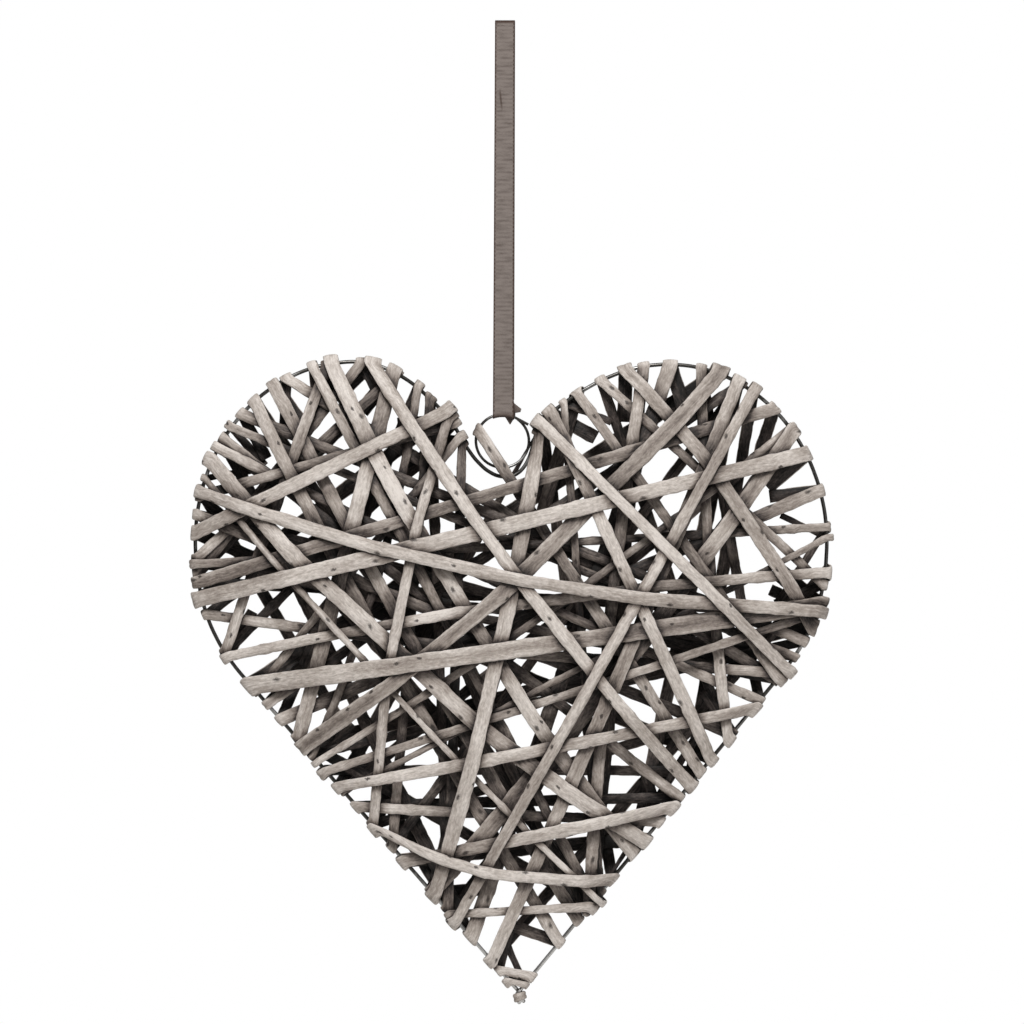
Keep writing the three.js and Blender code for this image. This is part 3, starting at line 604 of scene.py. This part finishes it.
def rounded_path(knots: np.ndarray, fillet: float, step: float) -> np.ndarray:
    """Follow knots in straight runs with each corner rounded.

    Args:
        knots: one row of numbers for each knot, its place in the first three.
        fillet: longest distance from a knot at which its rounding starts, in metres.
        step: longest distance between two results, in metres.

    Returns:
        Rows like the knots, closely spaced.
    """
    gaps = np.linalg.norm(knots[1:, :3] - knots[:-1, :3], axis=1)
    reach = np.zeros(len(knots))
    reach[1:-1] = np.minimum(fillet, 0.4 * np.minimum(gaps[:-1], gaps[1:]))
    rows = [knots[0]]
    for k in range(len(gaps)):
        start = knots[k] + (knots[k + 1] - knots[k]) * reach[k] / gaps[k]
        end = knots[k + 1] + (knots[k] - knots[k + 1]) * reach[k + 1] / gaps[k]
        pieces = max(1, math.ceil((gaps[k] - reach[k] - reach[k + 1]) / step))
        rows.extend(start + (end - start) * i / pieces for i in range(1, pieces + 1))
        if k + 1 < len(gaps):
            after = knots[k + 1] + (knots[k + 2] - knots[k + 1]) * reach[k + 1] / gaps[k + 1]
            bends = max(2, math.ceil(2 * reach[k + 1] / step))
            for i in range(1, bends + 1):
                t = i / bends
                rows.append((1 - t) ** 2 * end + 2 * t * (1 - t) * knots[k + 1] + t * t * after)
    return np.array(rows)


def waver(along: np.ndarray, length: float, rng: np.random.Generator) -> np.ndarray:
    """Make a smooth wandering value from -1 to 1 along a strip.

    Args:
        along: distance along the strip, in metres.
        length: distance over which the value changes, in metres.
        rng: seeded random source.

    Returns:
        One value for each distance.
    """
    count = int(along[-1] / length) + 3
    values = rng.uniform(-1, 1, count)
    place = along / length
    low = place.astype(int)
    t = place - low
    blend = t * t * (3 - 2 * t)
    return values[low] * (1 - blend) + values[low + 1] * blend


def skin_rows(name: str, rows: np.ndarray, uv: np.ndarray, pattern: Pattern) -> bpy.types.Object:
    """Roll a flat grid into a closed band through rows of points.

    Args:
        name: the piece's name.
        rows: points by section and by place round it, in metres.
        uv: pattern place of each point, with one more column than the points.
        pattern: the UV map that holds it.

    Returns:
        The finished band.
    """
    count, around = rows.shape[:2]
    bpy.ops.object.select_all(action="DESELECT")
    bpy.ops.mesh.primitive_grid_add(x_subdivisions=around, y_subdivisions=count - 1, size=2)
    piece = bpy.context.object
    piece.name = name
    mesh = piece.data
    mesh.name = name
    flat = np.empty(len(mesh.vertices) * 3)
    mesh.vertices.foreach_get("co", flat)
    grid = flat.reshape(-1, 3)
    column = np.rint((grid[:, 0] + 1) / 2 * around).astype(int)
    row = np.rint((grid[:, 1] + 1) / 2 * (count - 1)).astype(int)
    mesh.vertices.foreach_set("co", rows[row, column % around].reshape(-1))
    corners = np.empty(len(mesh.loops), dtype=int)
    mesh.loops.foreach_get("vertex_index", corners)
    layer = mesh.uv_layers[0]
    layer.name = pattern.value
    layer.data.foreach_set("uv", uv[row[corners], column[corners]].reshape(-1))
    for mark, values in ((Mark.ROW, row), (Mark.COLUMN, column % around)):
        layer = mesh.attributes.new(mark.value, "INT", "POINT")
        layer.data.foreach_set("value", values.astype(np.int32))
    bpy.ops.object.mode_set(mode="EDIT")
    bpy.ops.mesh.select_all(action="SELECT")
    bpy.ops.mesh.remove_doubles(threshold=1e-7)
    bpy.ops.mesh.select_all(action="DESELECT")
    bpy.ops.mesh.select_non_manifold()
    bpy.ops.mesh.fill_holes(sides=0)
    bpy.ops.mesh.select_all(action="SELECT")
    bpy.ops.mesh.normals_make_consistent(inside=False)
    bpy.ops.object.mode_set(mode="OBJECT")
    bpy.ops.object.shade_smooth()
    return piece


def search_tree(pieces: list[bpy.types.Object]) -> BVHTree:
    """Put pieces in one tree, for finding what stands over a place.

    Args:
        pieces: mesh objects, placed in their meshes.

    Returns:
        The tree.
    """
    points: list = []
    faces: list = []
    for piece in pieces:
        first = len(points)
        points.extend(vertex.co[:] for vertex in piece.data.vertices)
        faces.extend([first + v for v in face.vertices] for face in piece.data.polygons)
    return BVHTree.FromPolygons(points, faces)


def dress(piece: bpy.types.Object, material: bpy.types.Material, slot: str, *nodes: str) -> None:
    """Give a piece its finish, its body and the nodes that it stands for.

    Args:
        piece: the piece.
        material: its finish.
        slot: not used.
        nodes: CAD nodes that it replaces.
    """
    piece.data.materials.clear()
    piece.data.materials.append(material)
    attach(piece, BODY)
    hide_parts(*nodes)
    LOG.info("%s: %d faces", piece.name, len(piece.data.polygons))


@dataclass
class Strip:
    """One finished strip and what its finish needs to know."""

    piece: bpy.types.Object
    points: np.ndarray
    up: np.ndarray
    tone: np.ndarray
    groove: np.ndarray


@dataclass
class WillowStrips:
    """All the willow: the wound skeins and the binding at the tip."""

    frame: Frame
    finish: WashedWillow
    step: float = 1.9 * MM
    fillet: float = 9.0 * MM
    width_waver: float = 0.07
    width_wave: float = 45 * MM
    edge_waver: float = 0.16 * MM
    edge_waves: tuple = (2.7 * MM, 9 * MM)
    roll: float = math.radians(3.5)
    roll_wave: float = 60 * MM
    crown_range: tuple = (0.5, 1.3)
    crown_change: float = 0.3
    crown_wave: float = 110 * MM
    bud_spacing: float = 47.0 * MM
    bud_offset: float = 0.02
    bud_length: float = 2.2 * MM
    bud_swell: float = 0.3 * MM
    bud_rise: float = 0.16
    reach: float = 40.0 * MM
    # Painted shade: these set how dark covered places and inner faces are painted.
    inner_wash_and_shade: float = 0.7
    darkest_below: float = 0.15
    wash_and_shade_power: float = 1.7
    ray_rings: tuple = ((0.35, 5), (0.9, 7), (1.28, 8))
    ray_lift: float = 0.15 * MM
    ridge: float = 0.06 * MM
    ridge_wave: float = 26 * MM
    groove: float = 0.3 * MM
    groove_range: tuple = (-1.3, 1.0)
    groove_wave: float = 90 * MM
    groove_shade: float = 0.18
    tone: float = 0.08
    tone_range: float = 0.6
    tone_wave: float = 130 * MM
    profile: tuple = (
        (0.0, 0.08), (0.84, 0.03), (0.97, 0.15), (1.0, 0.34), (0.94, 0.58), (0.82, 0.78), (0.46, 0.94),
        (0.0, 1.0), (-0.46, 0.94), (-0.82, 0.78), (-0.94, 0.58), (-1.0, 0.34), (-0.97, 0.15), (-0.84, 0.03))
    probes: tuple = (10, 7, 4, 0)

    def build(self) -> None:
        """Make each strip and hide the node that it stands for."""
        material = self.finish.material()
        names = sorted(name for name in self.frame.nodes if name.startswith(("willow", "tip")))
        strips = [self.strip(name, np.random.default_rng(100 + seed)) for seed, name in enumerate(names)]
        tree = search_tree([strip.piece for strip in strips])
        for name, strip in zip(names, strips):
            self.paint(strip, tree)
            dress(strip.piece, material, "willow", name)

    def knots(self, name: str) -> np.ndarray:
        """Read a solid's sections as middle, half width and thickness vectors.

        Args:
            name: the node's name.

        Returns:
            Nine numbers for each section.
        """
        rows = Band(*self.frame.triangles(name), 4).sections()
        edge = np.linalg.norm(rows[:, 1] - rows[:, 0], axis=1).mean()
        if edge < np.linalg.norm(rows[:, 2] - rows[:, 1], axis=1).mean():
            rows = np.roll(rows, -1, axis=1)
        low, high = rows[:, :2].mean(axis=1), rows[:, 2:].mean(axis=1)
        if abs(low[0, 1]) > abs(high[0, 1]):
            rows = np.roll(rows, 2, axis=1)
            low, high = high, low
        half = (rows[:, 1] - rows[:, 0]) / 2
        return np.hstack([low, half, high - low])

    def openness(self, tree: BVHTree, place: Vector, normal: Vector) -> float:
        """Measure how much of the room over a place is open.

        Args:
            tree: all the solids.
            place: a point just off the surface.
            normal: the way the surface faces.

        Returns:
            From 0, buried, to 1, open.
        """
        side = normal.orthogonal().normalized()
        across = normal.cross(side)
        open_share = 0.0
        total = 0.0
        for lean, count in self.ray_rings:
            weight = 0.4 + 0.6 * math.cos(lean)
            for i in range(count):
                turn = 2 * math.pi * (i + lean) / count
                flat = side * math.cos(turn) + across * math.sin(turn)
                ray = normal * math.cos(lean) + flat * math.sin(lean)
                hit = tree.ray_cast(place, ray, self.reach)
                total += weight
                open_share += weight if hit[0] is None else weight * (hit[3] / self.reach) ** 2
        return open_share / total

    def wash_and_shade(self, tree: BVHTree, points: np.ndarray, up: np.ndarray) -> np.ndarray:
        """Find how open each section is at its outer edges, middle and inner face.

        Args:
            tree: all the strips.
            points: the strip's points by section and by place round it.
            up: the way that each section's outer face looks.

        Returns:
            Four values for each section: one edge, the middle, the other edge, the inner face.
        """
        result = np.empty((len(points), len(self.probes)))
        for k, (row, rise) in enumerate(zip(points, up)):
            out = Vector(rise)
            for i, column in enumerate(self.probes):
                facing = out if i < 3 else -out
                start = Vector(row[column]) + facing * self.ray_lift
                result[k, i] = self.openness(tree, start, facing)
        kernel = np.array([0.25, 0.5, 0.25])
        padded = np.pad(result, ((1, 1), (0, 0)), mode="edge")
        return sum(kernel[i] * padded[i:i + len(points)] for i in range(3))

    def strip(self, name: str, rng: np.random.Generator) -> Strip:
        """Make one strip along its solid.

        Args:
            name: the node's name.
            rng: seeded random source.

        Returns:
            The strip.
        """
        rows = rounded_path(self.knots(name), self.fillet, self.step)
        along = np.concatenate([[0], np.linalg.norm(np.diff(rows[:, :3], axis=0), axis=1).cumsum()])
        low, half, rise = rows[:, :3], rows[:, 3:6], rows[:, 6:]
        thick = np.linalg.norm(rise, axis=1, keepdims=True)
        up = rise / thick
        thick = np.full_like(thick, thick[0, 0])
        wide = np.linalg.norm(half, axis=1, keepdims=True)
        side = half / wide
        from_bud = (along + self.bud_offset) % self.bud_spacing - self.bud_spacing / 2
        bud = np.exp(-(from_bud / self.bud_length) ** 2)
        wide = wide * (1 + self.width_waver * waver(along, self.width_wave, rng)[:, None])
        wide += self.bud_swell * bud[:, None]
        lean = self.roll * waver(along, self.roll_wave, rng)[:, None]
        crown = rng.uniform(*self.crown_range) + self.crown_change * waver(along, self.crown_wave, rng)
        groove = np.clip(rng.uniform(*self.groove_range) + waver(along, self.groove_wave, rng), 0, 1)
        turned = side * np.cos(lean) + up * np.sin(lean)
        short, long = self.edge_waves
        edges = [self.edge_waver * waver(along, short, rng) + 0.5 * self.edge_waver
                 * waver(along, long, rng) for _ in range(2)]
        columns = []
        for a, b in self.profile:
            nick = (edges[0] if a > 0 else edges[1])[:, None] * abs(a) ** 3
            ridge = self.ridge * waver(along, self.ridge_wave, rng)[:, None] if b > 0.6 else 0
            dome = np.reshape(b if b < 0.4 else 1 - (1 - b) * crown, (-1, 1))
            height = thick * (dome + (self.bud_rise * bud[:, None] if b > 0.7 else 0)) + ridge
            height = height - (self.groove * groove[:, None] if b == 1.0 else 0)
            columns.append(low + turned * (a * wide + math.copysign(1, a) * nick) + up * height)
        points = np.stack(columns, axis=1)
        closed = np.concatenate([points, points[:, :1]], axis=1)
        gaps = np.linalg.norm(np.diff(closed, axis=1), axis=2)
        around = np.concatenate([np.zeros((len(rows), 1)), gaps.cumsum(axis=1)], axis=1)
        offset = rng.uniform(0, 900, 2)
        lengthwise = np.repeat(along[:, None], around.shape[1], axis=1)
        uv = np.stack([around / MM + offset[0], lengthwise / MM + offset[1]], axis=2)
        tone = self.tone_range * waver(along, self.tone_wave, rng)
        tone += rng.uniform(-self.tone_range, self.tone_range)
        piece = skin_rows("visual_" + name, points, uv, Pattern.STRIP)
        return Strip(piece, points, up, tone, groove)

    def paint(self, strip: Strip, tree: BVHTree) -> None:
        """Store each point's level of whitewash and painted shade, and its tone.

        Args:
            strip: the strip.
            tree: all the strips.
        """
        opened = self.wash_and_shade(tree, strip.points, strip.up)
        mesh = strip.piece.data
        row = np.empty(len(mesh.vertices), dtype=np.int32)
        column = np.empty(len(mesh.vertices), dtype=np.int32)
        mesh.attributes[Mark.ROW.value].data.foreach_get("value", row)
        mesh.attributes[Mark.COLUMN.value].data.foreach_get("value", column)
        place = np.array([a for a, _ in self.profile])[column]
        inner = np.array([b < 0.1 for _, b in self.profile])[column]
        # Painted shade: grooves, inner faces and places that other strips cover get a smaller level, so
        # they are painted darker.
        opened[:, 1] -= self.groove_shade * strip.groove
        left, middle, right, under = opened[row].T
        outer = np.where(place < 0, middle + (left - middle) * -place, middle + (right - middle) * place)
        share = np.where(inner, under * self.inner_wash_and_shade, outer)
        wash_and_shade = np.clip((share - self.darkest_below) / (1 - self.darkest_below), 0, 1) ** self.wash_and_shade_power
        tone = self.tone * strip.tone[row]
        for mark, values in ((Mark.WASH, wash_and_shade), (Mark.TONE, tone), (Mark.PLACE, place)):
            layer = mesh.attributes.new(mark.value, "FLOAT", "POINT")
            layer.data.foreach_set("value", values.astype(np.float32))
        for mark in (Mark.ROW, Mark.COLUMN):
            mesh.attributes.remove(mesh.attributes[mark.value])


@dataclass
class WireWork:
    """The bent rim with its twisted ends, and the ring in the cleft."""

    frame: Frame
    finish: GalvanisedSteel
    sides: int = 14
    step: float = 1.2 * MM
    fillet: float = 6.0 * MM

    def build(self) -> None:
        """Make both wires."""
        material = self.finish.material()
        dress(self.wire("rim_wire", "rim"), material, "wire", "rim_wire")
        dress(self.wire("hanging_ring", "ring"), material, "wire", "hanging_ring")

    def wire(self, node: str, name: str) -> bpy.types.Object:
        """Draw round wire along a solid.

        Args:
            node: the solid's name.
            name: the piece's name.

        Returns:
            The wire.
        """
        rows = Band(*self.frame.triangles(node), 6).sections()
        middle = rows.mean(axis=1)
        knots = np.hstack([middle, rows[:, 0] - middle])
        path = rounded_path(knots, self.fillet, self.step)
        heading = np.gradient(path[:, :3], axis=0)
        heading /= np.linalg.norm(heading, axis=1, keepdims=True)
        up = path[:, 3:] - heading * (path[:, 3:] * heading).sum(axis=1, keepdims=True)
        up /= np.linalg.norm(up, axis=1, keepdims=True)
        across = np.cross(heading, up)
        radius = np.linalg.norm(rows[0, 0] - middle[0])
        turns = 2 * np.pi * np.arange(self.sides) / self.sides
        points = path[:, None, :3] + radius * (
            np.cos(turns)[None, :, None] * up[:, None] + np.sin(turns)[None, :, None] * across[:, None])
        along = np.concatenate([[0], np.linalg.norm(np.diff(path[:, :3], axis=0), axis=1).cumsum()]) / MM
        around = np.arange(self.sides + 1) * 2 * math.pi * radius / self.sides / MM
        uv = np.stack(np.broadcast_arrays(around[None, :], along[:, None]), axis=2)
        return skin_rows(name, points, uv, Pattern.WIRE)


@dataclass
class RibbonLoop:
    """The ribbon: two legs lying together, folded at the top and round the ring below."""

    frame: Frame
    finish: GrosgrainRibbon
    width: float = 9.8 * MM
    thickness: float = 0.4 * MM
    cloth_share: float = 0.8
    leg_gap: float = 0.35 * MM
    ring_gap: float = 0.35 * MM
    spread_height: float = 7 * MM
    wrap_turn: float = 0.97 * math.pi
    lap_rise: float = 2 * MM
    lap_stop: float = 1 * MM
    back_shift: float = 0.15 * MM
    drift: float = -1.0 * MM
    step: float = 0.9 * MM
    columns: int = 46
    top_narrowing: float = 0.27 * MM
    sag_reach: float = 9 * MM
    foot_shade: float = 2.6 * MM
    crease_x: float = -2.1 * MM
    crease_z: float = -37.0 * MM
    crease_width: float = 0.32 * MM
    crease_reach: float = 4.5 * MM
    crease_bow: float = 0.5 * MM
    crease_wave: float = 4 * MM
    crease_rise: float = 0.4 * MM
    crease_shade: float = 0.8
    tail_shade: float = 0.45
    tail_length: float = 10 * MM
    right_curl: float = 0.9 * MM
    lower_curl: float = 0.3 * MM
    right_tail: tuple = (((0.3, 20.0), (4.5, 18.6), (8.9, 14.9)), ((0.3, 13.2), (5.2, 12.9), (8.5, 13.6)))
    lower_tail: tuple = (((-1.0, 15.3), (1.0, 11.6), (3.5, 7.8)), ((6.1, 15.3), (6.1, 11.4), (3.7, 7.8)))

    def build(self) -> None:
        """Make the loop and its cut ends."""
        material = self.finish.material()
        loop = self.loop()
        dress(loop, material, "ribbon", "ribbon")
        self.length()
        ends = self.ends()
        dress(ends, material, "ribbon", "ribbon_ends")

    def ring(self) -> tuple[float, float, float, float]:
        """Measure the ring.

        Returns:
            X and Z of its middle, the radius that its wire is turned to and the wire's own radius.
        """
        rows = Band(*self.frame.triangles("hanging_ring"), 6).sections()
        middle = rows.mean(axis=1)
        high, low = middle[:, 2].max(), middle[:, 2].min()
        radius = (high - low) / 2
        return middle[:, 0].min() + radius, (high + low) / 2, radius, np.linalg.norm(rows[0, 0] - middle[0])

    def route(self) -> np.ndarray:
        """Lay out the loop's middle line, from behind the ring up, down the front and round the ring.

        Returns:
            Depth and height of each of its points.
        """
        _, ring_z, radius, wire = self.ring()
        wire_z = ring_z + radius
        reach = wire + self.ring_gap + self.thickness / 2
        gap = self.leg_gap
        top = -self.thickness / 2
        spread = wire_z + self.spread_height
        fold = [(gap * math.cos(t), top - gap + gap * math.sin(t)) for t in np.linspace(0, math.pi, 7)]
        under = [(-reach * math.cos(t), wire_z - reach * math.sin(t))
                 for t in np.linspace(0, self.wrap_turn, 13)]
        lap = [(reach * 0.96, wire_z + self.lap_rise), (gap * 1.4, spread - self.lap_stop)]
        return np.array([(gap, spread), *fold, (-gap, spread), *under, *lap])

    def length(self) -> float:
        """Measure the ribbon in the loop.

        Returns:
            Its length, in metres.
        """
        return float(np.linalg.norm(np.diff(self.route(), axis=0), axis=1).sum())

    def loop(self) -> bpy.types.Object:
        """Hang the loop as one strip, with a short crease down its front.

        Returns:
            The loop.
        """
        line = self.route()
        gaps = np.concatenate([[0], np.linalg.norm(np.diff(line, axis=0), axis=1).cumsum()])
        along = np.linspace(0, gaps[-1], int(gaps[-1] / self.step))
        y = np.interp(along, gaps, line[:, 0])
        z = np.interp(along, gaps, line[:, 1])
        across = np.linspace(-1, 1, self.columns + 1)
        behind = np.clip(y / self.leg_gap, -1, 1)
        drift = self.drift * z / z.min() + self.back_shift * (behind + 1) / 2
        centre, _, radius, _ = self.ring()
        near_ring = np.clip((z.min() + self.sag_reach - z) / self.sag_reach, 0, 1)
        narrowing = self.top_narrowing * (1 - z / z.min())
        half = self.width / 2 - narrowing
        x = across[None, :] * half[:, None] + (drift - narrowing)[:, None]
        sag = radius - np.sqrt(radius ** 2 - (x - centre) ** 2)
        bow = self.crease_bow * np.sin(z / self.crease_wave)
        across_crease = (x - self.crease_x - bow[:, None]) / self.crease_width
        along_crease = (z[:, None] - self.crease_z) / self.crease_reach
        crease = np.exp(-across_crease ** 2 - along_crease ** 4) * (y[:, None] < 0)
        foot = np.clip((z.min() + self.foot_shade - z) / self.foot_shade, 0, 1)
        points = np.stack([
            x, y[:, None] - self.crease_rise * crease, z[:, None] - sag * near_ring[:, None]], axis=2)
        shade = np.maximum(self.crease_shade * crease, foot[:, None])
        return self.cloth("ribbon_loop", points, along, shade)

    def cloth(self, name: str, points: np.ndarray, along: np.ndarray,
              shade: np.ndarray) -> bpy.types.Object:
        """Turn a flat grid into a piece of ribbon with its thickness.

        Args:
            name: the piece's name.
            points: points by row along the ribbon and by column across it.
            along: distance of each row along the ribbon.
            shade: how dark each point is, from 0 to 1.

        Returns:
            The piece.
        """
        count, width = points.shape[:2]
        bpy.ops.object.select_all(action="DESELECT")
        bpy.ops.mesh.primitive_grid_add(x_subdivisions=width - 1, y_subdivisions=count - 1, size=2)
        piece = bpy.context.object
        piece.name = name
        mesh = piece.data
        flat = np.empty(len(mesh.vertices) * 3)
        mesh.vertices.foreach_get("co", flat)
        grid = flat.reshape(-1, 3)
        column = np.rint((grid[:, 0] + 1) / 2 * (width - 1)).astype(int)
        row = np.rint((grid[:, 1] + 1) / 2 * (count - 1)).astype(int)
        mesh.vertices.foreach_set("co", points[row, column].reshape(-1))
        corners = np.empty(len(mesh.loops), dtype=int)
        mesh.loops.foreach_get("vertex_index", corners)
        across = (column / (width - 1) * 2 - 1) * self.width / 2 / MM
        layer = mesh.uv_layers[0]
        layer.name = Pattern.RIBBON.value
        layer.data.foreach_set("uv", np.stack([across, along[row] / MM], axis=1)[corners].reshape(-1))
        mark = mesh.attributes.new(Mark.SHADE.value, "FLOAT", "POINT")
        mark.data.foreach_set("value", shade[row, column].astype(np.float32))
        solid = piece.modifiers.new("thickness", "SOLIDIFY")
        solid.thickness = self.thickness * self.cloth_share
        solid.offset = 0
        bpy.ops.object.modifier_apply(modifier=solid.name)
        bpy.ops.object.shade_smooth()
        return piece

    def ends(self) -> bpy.types.Object:
        """Cut the two short ends that show beside and below the loop's foot.

        Returns:
            Both ends as one piece.
        """
        tails = [self.tail("right_tail", self.right_tail, self.right_curl),
                 self.tail("lower_tail", self.lower_tail, self.lower_curl)]
        bpy.ops.object.select_all(action="DESELECT")
        for tail in tails:
            tail.select_set(True)
        bpy.context.view_layer.objects.active = tails[0]
        bpy.ops.object.join()
        tails[0].name = "ribbon_tails"
        return tails[0]

    def tail(self, name: str, edges: tuple, curl: float) -> bpy.types.Object:
        """Lay one cut end between its two edges.

        Args:
            name: the piece's name.
            edges: two edges, each a row of X and Z places from the ring's middle, in millimetres.
            curl: how far its far end curls forward, in metres.

        Returns:
            The end.
        """
        low, high = (Vector(corner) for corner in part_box("ribbon_ends"))
        centre_x, centre_z, _, _ = self.ring()
        shares = np.linspace(0, 1, 16)
        sides = []
        for edge in edges:
            corners = np.array(edge) * MM
            at = np.linspace(0, 1, len(corners))
            sides.append(np.stack([np.interp(shares, at, corners[:, k]) for k in (0, 1)], axis=1))
        across = np.linspace(0, 1, self.columns + 1)
        flat = sides[0][:, None] * (1 - across)[None, :, None] + sides[1][:, None] * across[None, :, None]
        lift = curl * shares[:, None] ** 2 * np.sin(math.pi * (0.2 + 0.6 * across))[None, :]
        depth = (low.y + high.y) / 2 - lift
        points = np.stack([flat[:, :, 0] + centre_x, depth, flat[:, :, 1] + centre_z], axis=2)
        shade = np.full(depth.shape, self.tail_shade)
        return self.cloth(name, points, shares * self.tail_length, shade)


@dataclass(frozen=True)
class SoftLight:
    """One soft square light: its place and width in metres, and its power in watts."""

    name: str
    place: tuple
    width: float
    power: float


@dataclass
class Studio:
    """Camera, soft lights, white surroundings and a pale floor."""

    paper: StudioPaper
    frame_height: float = 1024 * 300 / 642 * MM
    centre: tuple = (3.04 * MM, 0.0, -229.9 * MM)
    distance: float = 2.4
    floor_z: float = -0.85
    ambient: float = 0.2
    target: tuple = (0.003, 0.0, -0.31)
    lights: tuple = (
        SoftLight("key", (-0.15, -1.3, 1.05), 0.45, 27.0),
        SoftLight("fill", (1.2, -1.5, -0.2), 1.2, 5.0),
        SoftLight("back", (0.6, 1.6, 0.6), 1.2, 7.0))

    def place_camera(self) -> None:
        """Set the camera straight in front of the heart."""
        data = bpy.data.cameras.new("camera")
        camera = bpy.data.objects.new("camera", data)
        bpy.context.scene.collection.objects.link(camera)
        camera.location = (self.centre[0], -self.distance, self.centre[2])
        camera.rotation_euler = (math.pi / 2, 0, 0)
        data.sensor_width = 36
        data.lens = 36 * self.distance / self.frame_height
        data.clip_end = 50
        bpy.context.scene.camera = camera

    def hang(self, light: SoftLight) -> None:
        """Hang one light and turn it to the heart.

        Args:
            light: the light.
        """
        data = bpy.data.lights.new(light.name, "AREA")
        data.size = light.width
        data.energy = light.power
        lamp = bpy.data.objects.new(light.name, data)
        bpy.context.scene.collection.objects.link(lamp)
        lamp.location = light.place
        heading = Vector(self.target) - Vector(light.place)
        lamp.rotation_euler = heading.to_track_quat("-Z", "Y").to_euler()

    def surround(self) -> None:
        """Make the white surroundings and the floor."""
        world = bpy.data.worlds.new("white_surroundings")
        bpy.context.scene.world = world
        world.use_nodes = True
        tree = world.node_tree
        tree.nodes.clear()
        rays = add_node(tree, "ShaderNodeLightPath")
        soft = add_node(tree, "ShaderNodeBackground", values={"Strength": self.ambient})
        white = add_node(tree, "ShaderNodeBackground", values={"Color": (1, 1, 1, 1), "Strength": 1.0})
        mix = add_node(tree, "ShaderNodeMixShader",
                       links={0: rays.outputs["Is Camera Ray"], 1: soft.outputs[0], 2: white.outputs[0]})
        add_node(tree, "ShaderNodeOutputWorld", links={"Surface": mix.outputs[0]})
        bpy.context.scene.view_settings.view_transform = "Standard"
        bpy.ops.object.select_all(action="DESELECT")
        bpy.ops.mesh.primitive_plane_add(size=3.0, location=(0, 0, self.floor_z))
        floor = bpy.context.object
        floor.name = "floor"
        bpy.ops.object.transform_apply(location=True, rotation=True, scale=True)
        floor.data.materials.append(self.paper.material())

    def build(self) -> None:
        """Light the set."""
        self.surround()
        for light in self.lights:
            self.hang(light)
        LOG.info("studio ready")


def main() -> None:
    """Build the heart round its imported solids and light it."""
    logging.basicConfig(level=logging.INFO, format="%(message)s")
    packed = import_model()
    frame = Frame(packed["nodes"])
    studio = Studio(StudioPaper())
    studio.place_camera()
    WillowStrips(frame, WashedWillow()).build()
    WireWork(frame, GalvanisedSteel()).build()
    RibbonLoop(frame, GrosgrainRibbon()).build()
    studio.build()


if __name__ == "__main__":
    main()
